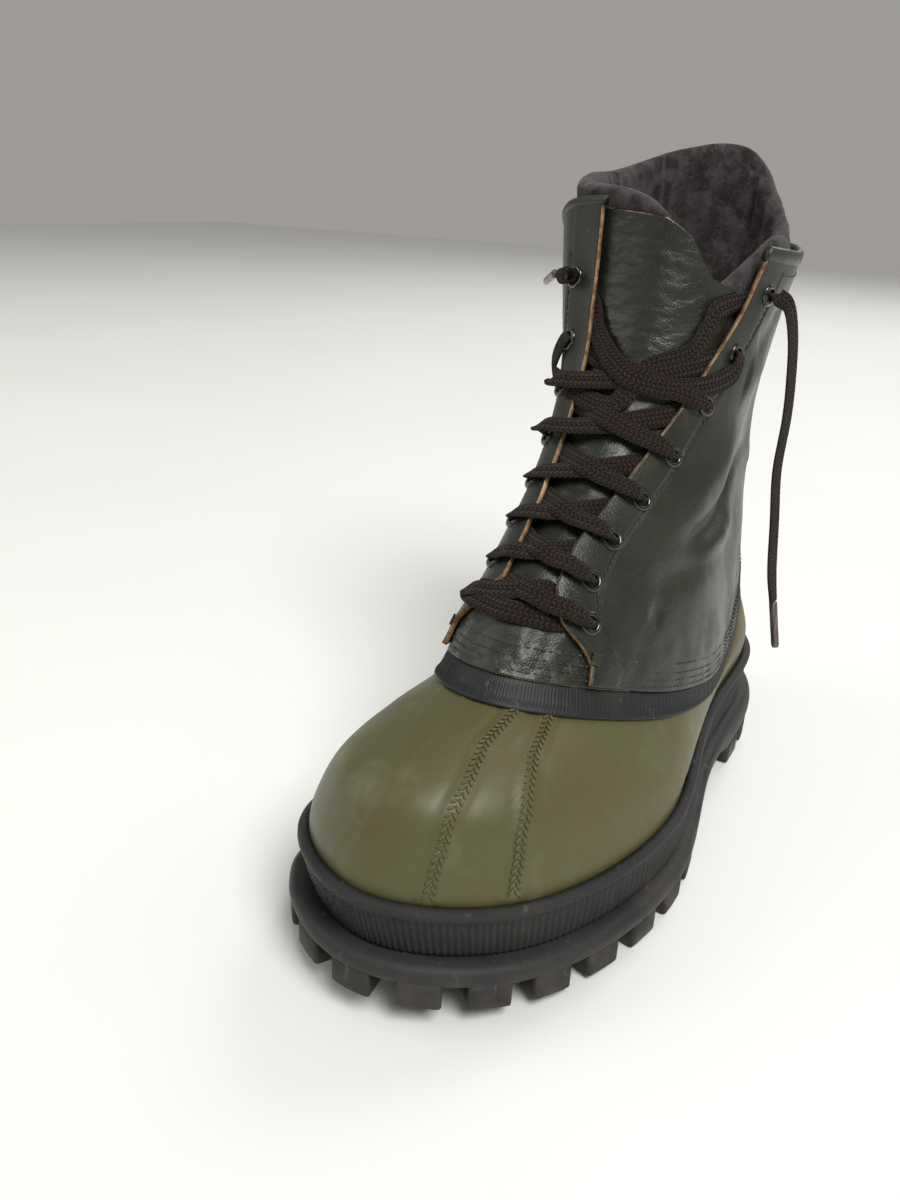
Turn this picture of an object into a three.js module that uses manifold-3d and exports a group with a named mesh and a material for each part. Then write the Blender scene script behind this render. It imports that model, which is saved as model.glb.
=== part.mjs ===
// Lace-up winter pac boot for the left foot: a moulded rubber shell on a lugged sole, a leather upper that is
// stitched round the rim of the shell, a tongue, eyelets and a flat lace, and a felt liner that stands out of
// the collar. Millimetres, +Z up, toe towards -Y, outer side of the foot towards +X.
import * as THREE from "three";
import { mergeVertices } from "three/addons/utils/BufferGeometryUtils.js";
import Module from "manifold-3d";

const wasm = await Module();
wasm.setup();

// Driving sizes of the last and of what is worn on it.
const upperLength = 320; // toe to heel over the rubber shell
const ballWidth = 117; // across the ball of the foot over the shell
const collarWidth = 112; // across the top of the shaft
const collarHeight = 255; // floor to the top edge of the leather
const toeSpring = 9; // how far the toe lifts off the floor
const heelPitch = 8; // how far the heel seat is above the ball

// Sole
const lugDepth = 9.5;
const plateThick = 9.5; // rubber between the lugs and the foot, at the ball
const archLift = 5; // the waist is cut this far above the roots of the lugs
const ledgeWidth = 8; // the sole stands out this far from the shell
const ledgeRound = 3; // chamfer of the sole's edges
const lugLength = 17; // along the edge of the sole
const lugGap = 9;
const lugReach = 17; // from the edge of the sole inwards
const lugEdge = ledgeWidth - 0.6; // lugs stand this far out from the shell
const lugSink = 2; // lugs are rooted this far into the plate
const treadBar = 9; // width of the bars in the middle of the tread

// Walls and bands
const shellWall = 2.6;
const leatherWall = 2.2;
const tongueWall = 2;
const feltWall = 8;
const feltSole = 9;
const bandThick = 3; // ribbed rubber band round the foot of the shell
const bandLip = 0.9; // the bead along its top stands out this far
const stripThick = 1.6; // rubber strip below the edge of the leather
const tabLift = 1.3; // the quarters ride up over the vamp piece by this much
const bindingThick = 1; // rolled edge of the collar stands out this far
const clearance = 0.3; // between pieces that touch
const trim = 0.05; // faces that differ by less than this are made one

// Eyelets and lace
const eyeletHole = 2.5; // radius
const eyeletFlange = 4.7; // radius
const eyeletRise = 1.2;
const eyeletInset = 12; // from the edge of the throat
const laceWidth = 8;
const laceThick = 1.5;
const agletRadius = 1.9;
const agletLength = 23;
const laceRise = 1.2; // above the eyelets
const stubTurn = 0.045; // the short end, as a turn round the shaft
const hangSteps = [
  [0, 0, 0], [4, 4, -4], [7, 7, -17], [9, 8, -35], [10, 8, -52], [10, 7, -75], [13, 6, -98], [16, 5, -121],
  [19, 5, -136],
];
const hanging = ["lace_end_outer", "aglet_outer"];

// Rings of the last, from the edge of the sole to the top of the felt. front and back are shares of the
// length from the toe, lean is the toe's shift to the inner side, out and inn are the half widths at the
// ball, corner, waist, arch (inner waist) and heel are shares of those, and zFront, zSide and zBack are
// shares of the height between the sole and the collar. follow is how far a ring takes the toe spring and
// heel pitch, and shaft says how far its width follows the collar and not the ball.
const columns = [
  "front", "back", "lean", "out", "inn", "corner", "waist", "arch", "heel",
  "zFront", "zSide", "zBack", "follow", "shaft",
];
const rings = [
  [0.012, 0.985, 0.085, 0.49, 0.485, 0.77, 0.79, 0.76, 0.66, 0, 0, 0, 1, 0], // sole edge
  [0.0, 1.0, 0.095, 0.5, 0.495, 0.8, 0.79, 0.78, 0.68, 0.09, 0.09, 0.09, 1, 0], // top of the band
  [0.015, 1.0, 0.095, 0.495, 0.49, 0.78, 0.82, 0.81, 0.69, 0.165, 0.105, 0.15, 1, 0], // toe wall
  [0.045, 0.99, 0.08, 0.475, 0.47, 0.76, 0.87, 0.86, 0.69, 0.235, 0.12, 0.205, 0.9, 0], // toe cap
  [0.115, 0.98, 0.055, 0.44, 0.435, 0.74, 0.92, 0.91, 0.69, 0.29, 0.135, 0.255, 0.7, 0], // vamp
  [0.2, 0.97, 0.045, 0.4, 0.395, 0.7, 0.97, 0.96, 0.68, 0.32, 0.155, 0.3, 0.4, 0], // foot of the strip
  [0.23, 0.955, 0.05, 0.375, 0.37, 0.67, 1.0, 1.0, 0.68, 0.355, 0.195, 0.345, 0.2, 0], // leather edge
  [0.3, 0.945, 0.05, 0.335, 0.34, 0.64, 1.0, 1.0, 0.68, 0.455, 0.36, 0.46, 0, 0.1], // throat base
  [0.43, 0.935, 0.045, 0.288, 0.325, 0.66, 0.91, 1.0, 0.69, 0.59, 0.515, 0.575, 0, 0.3], // ankle
  [0.505, 0.94, 0.04, 0.265, 0.345, 0.69, 0.94, 1.0, 0.69, 0.695, 0.655, 0.685, 0, 0.6], // above the ankle
  [0.545, 0.955, 0.035, 0.27, 0.4, 0.69, 1.0, 1.0, 0.69, 0.785, 0.77, 0.785, 0, 0.8], // shaft
  [0.57, 0.97, 0.035, 0.295, 0.465, 0.69, 1.0, 1.0, 0.69, 0.88, 0.865, 0.885, 0, 1], // high shaft
  [0.59, 0.985, 0.035, 0.325, 0.51, 0.7, 1.0, 1.0, 0.69, 1.0, 0.97, 0.98, 0, 1], // collar
  [0.59, 0.99, 0.035, 0.345, 0.53, 0.7, 1.0, 1.0, 0.69, 1.07, 1.1, 1.17, 0, 1], // felt top
].map((row) => Object.fromEntries(columns.map((name, i) => [name, row[i]])));
const level = { sole: 0, band: 1, strip: 5, edge: 6, lap: 6.5, vamp: 7.5, collar: 12, felt: 13 };

// Where the stations of a ring lie, as shares of its own length, and how far each takes the height of the
// ring's front or back.
const stationPlace = { corner: 0.1, ball: 0.34, waist: 0.6, heel: 0.87 };
const frontPull = { corner: 0.8, ball: 0.3 };
const backPull = { heel: 0.6 };

const soleTop = lugDepth + plateThick;
const yAt = (share) => (share - 0.5) * upperLength;
const mix = (a, b, t) => a + (b - a) * t;
const smooth = (t) => {
  const c = Math.min(1, Math.max(0, t));
  return c * c * (3 - 2 * c);
};

// Height of the tread and of the foot bed above their flat planes.
const springShare = 0.3;
const springAt = (y) => {
  const t = Math.max(0, (yAt(springShare) - y) / (yAt(springShare) - yAt(0)));
  return toeSpring * t * t;
};
const pitchAt = (y) => heelPitch * smooth((y - yAt(0.38)) / (yAt(0.75) - yAt(0.38)));
const groundAt = (y) => springAt(y) + pitchAt(y);

// The ten stations of one ring, from the toe over the outer side to the heel and back over the inner side.
function stations(r) {
  const width = mix(ballWidth, collarWidth, r.shaft);
  const place = (share) => yAt(mix(r.front, r.back, share));
  const high = (share) => share * (collarHeight - soleTop);
  const at = (x, y, z) => new THREE.Vector3(x, y, soleTop + clearance + high(z));
  const side = (sign, half, waist) => [
    at(sign * half * r.corner * width - r.lean * width, place(stationPlace.corner),
      mix(r.zSide, r.zFront, frontPull.corner)),
    at(sign * half * width, place(stationPlace.ball), mix(r.zSide, r.zFront, frontPull.ball)),
    at(sign * half * waist * width, place(stationPlace.waist), r.zSide),
    at(sign * half * r.heel * width, place(stationPlace.heel), mix(r.zSide, r.zBack, backPull.heel)),
  ];
  const outer = side(1, r.out, r.waist);
  const inner = side(-1, r.inn, r.arch);
  const front = at(-r.lean * width, place(0), r.zFront);
  const back = at(0, place(1), r.zBack);
  return [front, ...outer, back, ...inner.reverse()];
}
const ringStations = rings.map(stations);

// A Catmull-Rom curve through four points.
function between(p0, p1, p2, p3, t) {
  const out = new THREE.Vector3();
  const w0 = ((-t + 2) * t - 1) * t * 0.5;
  const w1 = ((3 * t - 5) * t * t + 2) * 0.5;
  const w2 = ((-3 * t + 4) * t + 1) * t * 0.5;
  const w3 = (t - 1) * t * t * 0.5;
  return out.addScaledVector(p0, w0).addScaledVector(p1, w1).addScaledVector(p2, w2).addScaledVector(p3, w3);
}

// A point of the last. turn runs once round the boot from the toe, over the outer side first. v counts rings.
function lastPoint(turn, v) {
  const at = (ring) => {
    const points = ringStations[Math.min(rings.length - 1, Math.max(0, ring))];
    const place = (((turn % 1) + 1) % 1) * points.length;
    const i = Math.floor(place);
    const pick = (k) => points[(i + k + points.length) % points.length];
    const p = between(pick(-1), pick(0), pick(1), pick(2), place - i);
    return p.setZ(p.z + rings[ring].follow * groundAt(p.y));
  };
  const ring = Math.min(rings.length - 2, Math.max(0, Math.floor(v)));
  const low = ring === 0 ? at(0).multiplyScalar(2).sub(at(1)) : at(ring - 1);
  const top = ring + 2 > rings.length - 1;
  const high = top ? at(ring + 1).multiplyScalar(2).sub(at(ring)) : at(ring + 2);
  return between(low, at(ring), at(ring + 1), high, v - ring);
}

// The outward normal there, and a point that stands out from the last by depth.
const probe = 0.002;
function lastNormal(turn, v) {
  const round = lastPoint(turn + probe, v).sub(lastPoint(turn - probe, v));
  const up = lastPoint(turn, v + probe * 10).sub(lastPoint(turn, v - probe * 10));
  return round.cross(up).normalize();
}
const lastOffset = (turn, v, depth) => lastPoint(turn, v).addScaledVector(lastNormal(turn, v), depth);

// The turn that is a given distance along the surface away from a start.
function turnAlong(turn, v, distance, depth = 0) {
  const step = 0.0015 * Math.sign(distance);
  let t = turn;
  let gone = 0;
  let last = lastOffset(t, v, depth);
  while (gone < Math.abs(distance)) {
    t += step;
    const next = lastOffset(t, v, depth);
    gone += next.distanceTo(last);
    last = next;
  }
  return t;
}

// Solids from grids of points

function solidOf(points, faces) {
  const vertProperties = new Float32Array(points.flatMap((p) => [p.x, p.y, p.z]));
  const triVerts = new Uint32Array(faces.flat());
  return new wasm.Manifold(new wasm.Mesh({ numProp: 3, vertProperties, triVerts }));
}

// The two triangles of a quad, split along its shorter diagonal, so that neighbouring layers bend alike.
function splitQuad(points, a, b, c, d) {
  const short = points[a].distanceTo(points[c]) < points[b].distanceTo(points[d]);
  return short ? [[a, b, c], [a, c, d]] : [[a, b, d], [b, c, d]];
}

// A closed or open stack of rings with as many points each. An open stack is closed by caps whose faces run
// across the ring from side to side, so that a cap follows the bend of the foot.
function ringSolid(stack, closed) {
  const n = stack[0].length;
  const points = stack.flat();
  const faces = [];
  const last = closed ? stack.length : stack.length - 1;
  for (let r = 0; r < last; r++) {
    const a = r * n;
    const b = ((r + 1) % stack.length) * n;
    for (let i = 0; i < n; i++) {
      const j = (i + 1) % n;
      faces.push(...splitQuad(points, a + i, a + j, b + j, b + i));
    }
  }
  const cap = (start, flip) => {
    const add = (p, q, r) => {
      const ends = flip ? [r, q] : [q, r];
      faces.push([start + p, start + ends[0], start + ends[1]]);
    };
    for (let i = 0; i < n / 2; i++) {
      const left = (n - i) % n;
      if (left !== i) add(left, i, i + 1);
      if (n - i - 1 !== i + 1) add(left, i + 1, n - i - 1);
    }
  };
  if (!closed) {
    cap(0, true);
    cap((stack.length - 1) * n, false);
  }
  return solidOf(points, faces);
}

// A sheet with a wall: outer and inner give the points of its two faces at a column and a row.
function sheetSolid(columnsCount, rowsCount, outer, inner) {
  const w = columnsCount + 1;
  const count = w * (rowsCount + 1);
  const points = [];
  for (const face of [outer, inner])
    for (let r = 0; r <= rowsCount; r++)
      for (let c = 0; c <= columnsCount; c++) points.push(face(c / columnsCount, r / rowsCount));
  const faces = [];
  const quad = (a, b, c, d) => faces.push(...splitQuad(points, a, b, c, d));
  for (let r = 0; r < rowsCount; r++)
    for (let c = 0; c < columnsCount; c++) {
      const a = r * w + c;
      quad(a, a + 1, a + w + 1, a + w);
      quad(count + a, count + a + w, count + a + w + 1, count + a + 1);
    }
  const wall = (a, b) => quad(a, count + a, count + b, b);
  for (let c = 0; c < columnsCount; c++) {
    wall(c, c + 1);
    wall(rowsCount * w + c + 1, rowsCount * w + c);
  }
  for (let r = 0; r < rowsCount; r++) {
    wall((r + 1) * w, r * w);
    wall(r * w + columnsCount, (r + 1) * w + columnsCount);
  }
  return solidOf(points, faces);
}

// A three.js geometry as a solid, and a solid as a three.js geometry.
function fromGeometry(geometry) {
  const bare = geometry.clone();
  bare.deleteAttribute("normal");
  bare.deleteAttribute("uv");
  const merged = mergeVertices(bare, 1e-4);
  const index = new Uint32Array(merged.index.array);
  return new wasm.Manifold(
    new wasm.Mesh({ numProp: 3, vertProperties: merged.attributes.position.array, triVerts: index }),
  );
}
function toGeometry(solid) {
  const mesh = solid.getMesh();
  const geometry = new THREE.BufferGeometry();
  const xyz = new Float32Array(mesh.numVert * 3);
  for (let i = 0; i < mesh.numVert; i++) {
    xyz.set(mesh.vertProperties.subarray(i * mesh.numProp, i * mesh.numProp + 3), i * 3);
  }
  geometry.setAttribute("position", new THREE.BufferAttribute(xyz, 3));
  geometry.setIndex(new THREE.BufferAttribute(mesh.triVerts, 1));
  geometry.computeVertexNormals();
  return geometry;
}

const boot = new THREE.Group();
const paint = (color, roughness, metalness = 0) =>
  new THREE.MeshStandardMaterial({ color, roughness, metalness });
const materials = {
  black: paint(0x232425, 0.6),
  green: paint(0x5b5e3c, 0.55),
  leather: paint(0x2a2f26, 0.35),
  felt: paint(0x4a4248, 0.95),
  lace: paint(0x3a2f2b, 0.85),
  enamel: paint(0x0c0c0d, 0.2, 0.3),
  aglet: paint(0x5a5150, 0.35),
};
function add(name, solid, material) {
  const mesh = new THREE.Mesh(toGeometry(solid), materials[material]);
  mesh.name = name;
  boot.add(mesh);
  return mesh;
}

const around = 36; // columns round the boot, the same for every layer, so that layers keep their distance
const valueAt = (value, turn) => (typeof value === "function" ? value(turn) : value);
const ringAt = (depth, v) =>
  Array.from({ length: around }, (_, i) => {
    const turn = i / around;
    return lastOffset(turn, valueAt(v, turn), valueAt(depth, turn));
  });
const ringsAt = (list, depth) => list.map((v) => ringAt(depth, v));
const tube = (list, outer, inner) => [...ringsAt(list, outer), ...ringsAt([...list].reverse(), inner)];

// Sole: a plate with a ledge, lugs round the edge and bars across the middle. Places along it are shares of
// the length of the shell.
const forefootBack = 0.5; // where the forefoot tread ends
const heelFront = 0.66;
const archRamp = 18;
const barPlaces = [0.13, 0.21, 0.29, 0.37, 0.45, 0.76, 0.85];
const barReach = 0.42; // share of the half width there

const archShape = (y) =>
  smooth((y - yAt(forefootBack) + archRamp) / archRamp) * smooth((yAt(heelFront) + archRamp - y) / archRamp);
const treadRoot = (y) => lugDepth + springAt(y) + archLift * archShape(y);
const bedAt = (y) => soleTop + groundAt(y);

function solePoint(turn, out, zOf) {
  const p = lastPoint(turn, level.band);
  const n = lastNormal(turn, level.band).setZ(0).normalize();
  p.addScaledVector(n, out);
  return p.setZ(zOf(p.y));
}
const soleRing = (out, zOf) => Array.from({ length: around }, (_, i) => solePoint(i / around, out, zOf));

function lug(corners) {
  const shape = new THREE.Shape(corners.map((p) => new THREE.Vector2(p.x, p.y)));
  const geometry = new THREE.ExtrudeGeometry(shape, { depth: 1, bevelEnabled: false });
  const position = geometry.attributes.position;
  for (let i = 0; i < position.count; i++) {
    const y = position.getY(i);
    position.setZ(i, position.getZ(i) > 0.5 ? treadRoot(y) + lugSink : springAt(y));
  }
  return fromGeometry(geometry);
}

function edgeLugs(side) {
  const flat = (turn, out) => solePoint(turn, out, () => 0);
  const inTread = (y) => y < yAt(forefootBack) || y > yAt(heelFront);
  const back = 0.5;
  const found = [];
  let turn = turnAlong(0, level.band, side * (lugLength / 2 + lugGap), ledgeWidth);
  while (Math.abs(turn) < back - 0.02) {
    const end = turnAlong(turn, level.band, side * lugLength, ledgeWidth);
    const stop = Math.abs(end) > back ? back * side : end;
    const corners = [[turn, lugEdge], [stop, lugEdge], [stop, lugEdge - lugReach], [turn, lugEdge - lugReach]]
      .map(([t, out]) => flat(t, out));
    if (corners.every((p) => inTread(p.y))) found.push(lug(side === 1 ? corners : corners.reverse()));
    turn = turnAlong(turn, level.band, side * (lugLength + lugGap), ledgeWidth);
  }
  return found;
}

function toeLug() {
  const turn = turnAlong(0, level.band, lugLength / 2, ledgeWidth);
  const flat = (t, out) => solePoint(t, out, () => 0);
  const inside = lugEdge - lugReach;
  return lug([
    flat(-turn, lugEdge), flat(0, lugEdge), flat(turn, lugEdge), flat(turn, inside), flat(-turn, inside),
  ]);
}

// A bar across the middle of the tread reaches a share of the way to the edge on each side.
function bar(place) {
  const y = yAt(place);
  const nearest = (side) => {
    const turns = Array.from({ length: 50 }, (_, i) => (side * i) / 100);
    const gap = (turn) => Math.abs(lastPoint(turn, level.band).y - y);
    return lastPoint(turns.reduce((a, b) => (gap(a) < gap(b) ? a : b)), level.band).x;
  };
  const middle = (nearest(1) + nearest(-1)) / 2;
  const reach = ((nearest(1) - nearest(-1)) / 2) * barReach;
  const half = treadBar / 2;
  return lug([
    new THREE.Vector2(middle - reach, y - half), new THREE.Vector2(middle + reach, y - half),
    new THREE.Vector2(middle + reach, y + half), new THREE.Vector2(middle - reach, y + half),
  ]);
}

const plate = ringSolid(
  [
    soleRing(ledgeWidth - ledgeRound, treadRoot),
    soleRing(ledgeWidth, (y) => treadRoot(y) + ledgeRound),
    soleRing(ledgeWidth, (y) => bedAt(y) - ledgeRound),
    soleRing(ledgeWidth - ledgeRound, bedAt),
  ],
  false,
);
const lugs = [toeLug(), ...edgeLugs(1), ...edgeLugs(-1), ...barPlaces.map(bar)];
add("outsole", lugs.reduce((sole, one) => sole.add(one), plate).simplify(trim), "black");

// Rubber shell, with the ribbed band round its foot and the strip below the leather.
const footLevels = [level.sole, level.band, 2, 3, 4, level.strip, level.edge];
const stripTop = level.edge - 0.08;
const shellLevels = [...footLevels.slice(0, -1), stripTop, level.lap];
add("rubber_shell", ringSolid(tube(shellLevels, 0, -shellWall), true), "green");

const bandOuter = clearance + bandThick;
const aboveBed = (ring) => ring.map((p) => p.setZ(Math.max(p.z, bedAt(p.y) + clearance)));
const lipLow = 0.84;
const lipHigh = 0.96;
add("sole_band", ringSolid([
  aboveBed(ringAt(bandOuter, level.sole)), ringAt(bandOuter, lipLow - 0.04),
  ringAt(bandOuter + bandLip, lipLow), ringAt(bandOuter + bandLip, lipHigh),
  ringAt(bandOuter - bandLip, level.band), ringAt(clearance, level.band),
  aboveBed(ringAt(clearance, level.sole)),
], true), "black");

add("rim_strip", ringSolid(tube([level.strip, stripTop], clearance + stripThick, clearance), true), "black");

// Leather upper. The quarters are one wall round the boot, cut open in front by the throat, whose edges
// curve out at the bottom into a tab. Each edge of the throat lies a share of its gap at the collar away
// from the front, and the whole throat leans to the outer side on its way up.
const throatGap = 76;
const edgeColumn = { outer: 1, inner: 2 };
const throatShares = [
  [6, 0.5, 0.48], [6.3, 0.48, 0.46], [6.5, 0.4, 0.38], [6.75, 0.24, 0.22], [7.1, 0.14, 0.1],
  [7.5, 0.13, 0.12], [8, 0.2, 0.18], [9, 0.33, 0.22], [10, 0.46, 0.24], [11, 0.6, 0.27], [12, 0.7, 0.3],
];
function fromTable(table, x, column = 1) {
  const held = Math.min(table[table.length - 1][0], Math.max(table[0][0], x));
  const i = Math.max(1, table.findIndex((row) => row[0] >= held - 1e-9));
  const [a, b] = [table[i - 1], table[i]];
  return mix(a[column], b[column], (held - a[0]) / (b[0] - a[0]));
}
const edgeAt = (v, side) =>
  throatGap * fromTable(throatShares, v, side > 0 ? edgeColumn.outer : edgeColumn.inner);
const frontTurn = (v, distance) => (Math.abs(distance) < 1e-6 ? 0 : turnAlong(0, v, distance));

// The quarters rise towards the edges of the throat, where they lie over the vamp piece and the tongue.
const liftReach = 25;
function liftAt(turn, v) {
  const near = Math.min(turn, 1 - turn);
  if (near > 0.25) return 0;
  const side = turn > 0.5 ? -1 : 1;
  let gone = 0;
  let last = lastPoint(0, v);
  for (let i = 1; i <= 12; i++) {
    const next = lastPoint((side * near * i) / 12, v);
    gone += next.distanceTo(last);
    last = next;
  }
  return tabLift * (1 - smooth((gone - edgeAt(v, side)) / liftReach));
}
const quarterLevels = [level.edge, level.lap, 7, level.vamp, 8, 9, 10, 11];
const bindingHeight = 0.24; // of the rolled edge of the collar
const cornerRise = 0.75; // the inner front corner of the collar stands this far above the rest
const cornerFrom = 0.77;
const cornerTo = 0.95;
const collarTop = (turn) => level.collar + cornerRise * smooth((turn - cornerFrom) / (cornerTo - cornerFrom));
const quarterRings = (depth, rolled) => [
  ...quarterLevels.map((v) => ringAt((turn) => depth + liftAt(turn, v), v)),
  ringAt((turn) => depth + liftAt(turn, level.collar), (turn) => collarTop(turn) - bindingHeight - 0.01),
  ringAt((turn) => depth + rolled + liftAt(turn, level.collar), (turn) => collarTop(turn) - bindingHeight),
  ringAt((turn) => depth + rolled + liftAt(turn, level.collar), collarTop),
];
const quarterOuter = quarterRings(clearance + leatherWall, bindingThick);
const quarterInner = quarterRings(clearance, 0);
const quarterRing = ringSolid([...quarterOuter, ...quarterInner.reverse()], true);
const cutLevels = [5.7, 6, 6.3, 6.5, 6.62, 6.75, 6.9, 7.1, 7.5, 8, 9, 10, 11, 12, 13];
const cutFace = (depth) => (c, r) => {
  const v = cutLevels[Math.round(r * (cutLevels.length - 1))];
  return lastOffset(mix(frontTurn(v, -edgeAt(v, -1)), frontTurn(v, edgeAt(v, 1)), c), v, depth);
};
const throat = sheetSolid(6, cutLevels.length - 1, cutFace(3 * leatherWall), cutFace(-leatherWall));

const vampLevels = [level.edge, level.lap, 7, level.vamp];
const vampColumns = 5; // on each side of the front
const vampFace = (depth) => (c, r) => {
  const v = vampLevels[Math.round(r * (vampLevels.length - 1))];
  return lastOffset((Math.round((c - 0.5) * 2 * vampColumns)) / around, v, depth);
};
const vampPiece = sheetSolid(
  2 * vampColumns, vampLevels.length - 1, vampFace(clearance + leatherWall), vampFace(clearance),
);

// Eyelets stand a fixed way in from the edges of the throat, one pair at each of these levels.
const eyeletLevels = [6.78, 7.19, 7.56, 7.97, 8.55, 9.35, 10.25, 11.3];
function eyeletSpot(v, side) {
  const turn = frontTurn(v, side * (edgeAt(v, side) + eyeletInset));
  const depth = clearance + leatherWall + liftAt(turn < 0 ? turn + 1 : turn, v);
  return { turn, v, normal: lastNormal(turn, v), at: lastOffset(turn, v, depth) };
}
const spots = eyeletLevels.map((v) => ({ outer: eyeletSpot(v, 1), inner: eyeletSpot(v, -1) }));

const eyeletBarrel = eyeletHole + 1;
const eyeletSides = 8;
function placed(geometry, spot) {
  const turned = new THREE.Quaternion().setFromUnitVectors(new THREE.Vector3(0, 1, 0), spot.normal);
  return fromGeometry(geometry.clone().applyQuaternion(turned).translate(spot.at.x, spot.at.y, spot.at.z));
}
const holeRadius = eyeletBarrel + clearance;
const seatRadius = eyeletFlange + clearance; // the flange is pressed into the leather where that is bent
const punch = new THREE.LatheGeometry([
  [0, -3 * leatherWall], [holeRadius, -3 * leatherWall], [holeRadius, 0], [seatRadius, 0],
  [seatRadius, 2 * leatherWall], [0, 2 * leatherWall],
].map(([x, y]) => new THREE.Vector2(x, y)), eyeletSides);
const eyeletShape = new THREE.LatheGeometry([
  [eyeletHole, -leatherWall], [eyeletBarrel, -leatherWall], [eyeletBarrel, clearance],
  [eyeletFlange, clearance], [eyeletFlange - 0.8, eyeletRise], [eyeletHole, eyeletRise],
  [eyeletHole, -leatherWall],
].map(([x, y]) => new THREE.Vector2(x, y)), eyeletSides);

let upper = quarterRing.subtract(throat).add(vampPiece);
for (const { outer, inner } of spots) {
  upper = upper.subtract(placed(punch, outer)).subtract(placed(punch, inner));
}
add("leather_upper", upper.simplify(trim), "leather");
spots.forEach(({ outer, inner }, i) => {
  add(`eyelet_outer_${i + 1}`, placed(eyeletShape, outer), "enamel");
  add(`eyelet_inner_${i + 1}`, placed(eyeletShape, inner), "enamel");
});

// Tongue, under the quarters and in front of the liner. Its top has a step on the outer side.
const tongueLevels = [7, level.vamp, 8, 9, 10, 11];
const tongueInn = [[7, 0.32], [9, 0.36], [10, 0.38], [11, 0.4], [12.2, 0.42]];
const tongueOut = [[7, 0.32], [9, 0.47], [10, 0.54], [11, 0.58], [12.2, 0.58]];
const tongueTop = [[0, 12.5], [0.4, 12.3], [0.5, 12.15], [0.6, 11.95], [0.7, 11.65], [0.8, 11.45], [1, 11.3]];
const tongueFace = (depth) => (c, r) => {
  const v = tongueLevels[Math.round(r * tongueLevels.length)] ?? fromTable(tongueTop, c);
  const low = frontTurn(v, -fromTable(tongueInn, v) * throatGap);
  const high = frontTurn(v, fromTable(tongueOut, v) * throatGap);
  return lastOffset(mix(low, high, c), v, depth);
};
const tongueOuter = -clearance;
const tongueInner = tongueOuter - tongueWall;
const tongue = sheetSolid(10, tongueLevels.length, tongueFace(tongueOuter), tongueFace(tongueInner));
add("tongue", tongue, "leather");

// Felt liner: a boot of its own inside the shell and the upper. Its rim dips in front, and is rolled outwards
// where it stands above the collar.
const linerOut = -(shellWall + 2 * clearance);
const linerIn = linerOut - feltWall;
const rimFront = 11.3;
const rimLowest = 0.11; // turn where the rim is lowest
const rimDip = 0.17; // turn from there to where the rim reaches its full height
const rimSag = 0.9; // the rim is this much lower on the outer side
const rimSagMiddle = 0.32;
const rimSagReach = 0.24;
const rimBulge = 3;
const rimRound = 3;
const bandHeight = rings[level.band].zSide * (collarHeight - soleTop);
const linerLevels = [level.band, 2, 4, level.strip, level.edge, 7, level.vamp, 8, 9, 10, 11];
const turnsApart = (a, b) => Math.abs(((a - b + 1.5) % 1) - 0.5);
const linerTop = (turn) => {
  const full = level.felt - rimSag * smooth(1 - turnsApart(turn, rimSagMiddle) / rimSagReach);
  return mix(rimFront, full, smooth(turnsApart(turn, rimLowest) / rimDip));
};
const rimLevel = (share) => (turn) => mix(11, linerTop(turn), share);
const bulgeFrom = 0.16; // turn from the front, because the tongue lies there
const bulgeAt = (turn) =>
  linerOut + rimBulge * smooth(linerTop(turn) - level.collar) * smooth((turnsApart(turn, 0) - bulgeFrom) / 0.06);
add("felt_liner", ringSolid([
  ringAt(linerOut - rimRound, level.sole), ringAt(linerOut, rimRound / bandHeight),
  ...ringsAt(linerLevels, linerOut),
  ringAt(linerOut, rimLevel(0.45)), ringAt(bulgeAt, rimLevel(0.8)), ringAt(linerOut - rimRound, rimLevel(1)),
  ringAt(linerIn + rimRound / 3, rimLevel(0.98)), ringAt(linerIn - rimBulge, rimLevel(0.75)),
  ...ringsAt([11, 9, level.vamp, level.edge, 4, 2], linerIn),
  ringAt(linerIn, feltSole / bandHeight),
], false), "felt");

// Lace: flat straps that run over the eyelets from each pair to the next, crossed in the throat.
const laceDepth = clearance + leatherWall + tabLift + eyeletRise + laceRise + laceThick / 2;
function strapFrom(path, count, width = laceWidth) {
  const frame = (r) => {
    const { at, normal } = path(r);
    const along = path(Math.min(1, r + 0.01)).at.clone().sub(path(Math.max(0, r - 0.01)).at);
    return { at, normal, across: along.cross(normal).normalize() };
  };
  const face = (side) => (c, r) => {
    const { at, normal, across } = frame(r);
    const point = at.clone().addScaledVector(across, (c - 0.5) * width);
    return point.addScaledVector(normal, (side * laceThick) / 2);
  };
  return sheetSolid(1, count, face(1), face(-1));
}
// The bends of a strap, closer together where it comes over the edges of the throat.
const strapPlaces = [[0, 0], [0.2, 0.13], [0.4, 0.3], [0.6, 0.7], [0.8, 0.87], [1, 1]];
const strapBetween = (a, b, raised = 0) => strapFrom((r) => {
  const share = fromTable(strapPlaces, r);
  const turn = mix(a.turn, b.turn, share);
  const v = mix(a.v, b.v, share);
  return { at: lastOffset(turn, v, laceDepth + raised), normal: lastNormal(turn, v) };
}, strapPlaces.length - 1);
const crossRise = laceThick / 2; // of the strap that lies on top in each crossing
let lace = strapBetween(spots[0].inner, spots[0].outer, crossRise / 2);
for (let i = 0; i < spots.length - 1; i++) {
  lace = lace.add(strapBetween(spots[i].inner, spots[i + 1].outer));
  lace = lace.add(strapBetween(spots[i].outer, spots[i + 1].inner, crossRise));
}
const topInner = spots[spots.length - 1].inner;
const topOuter = spots[spots.length - 1].outer;

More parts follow.
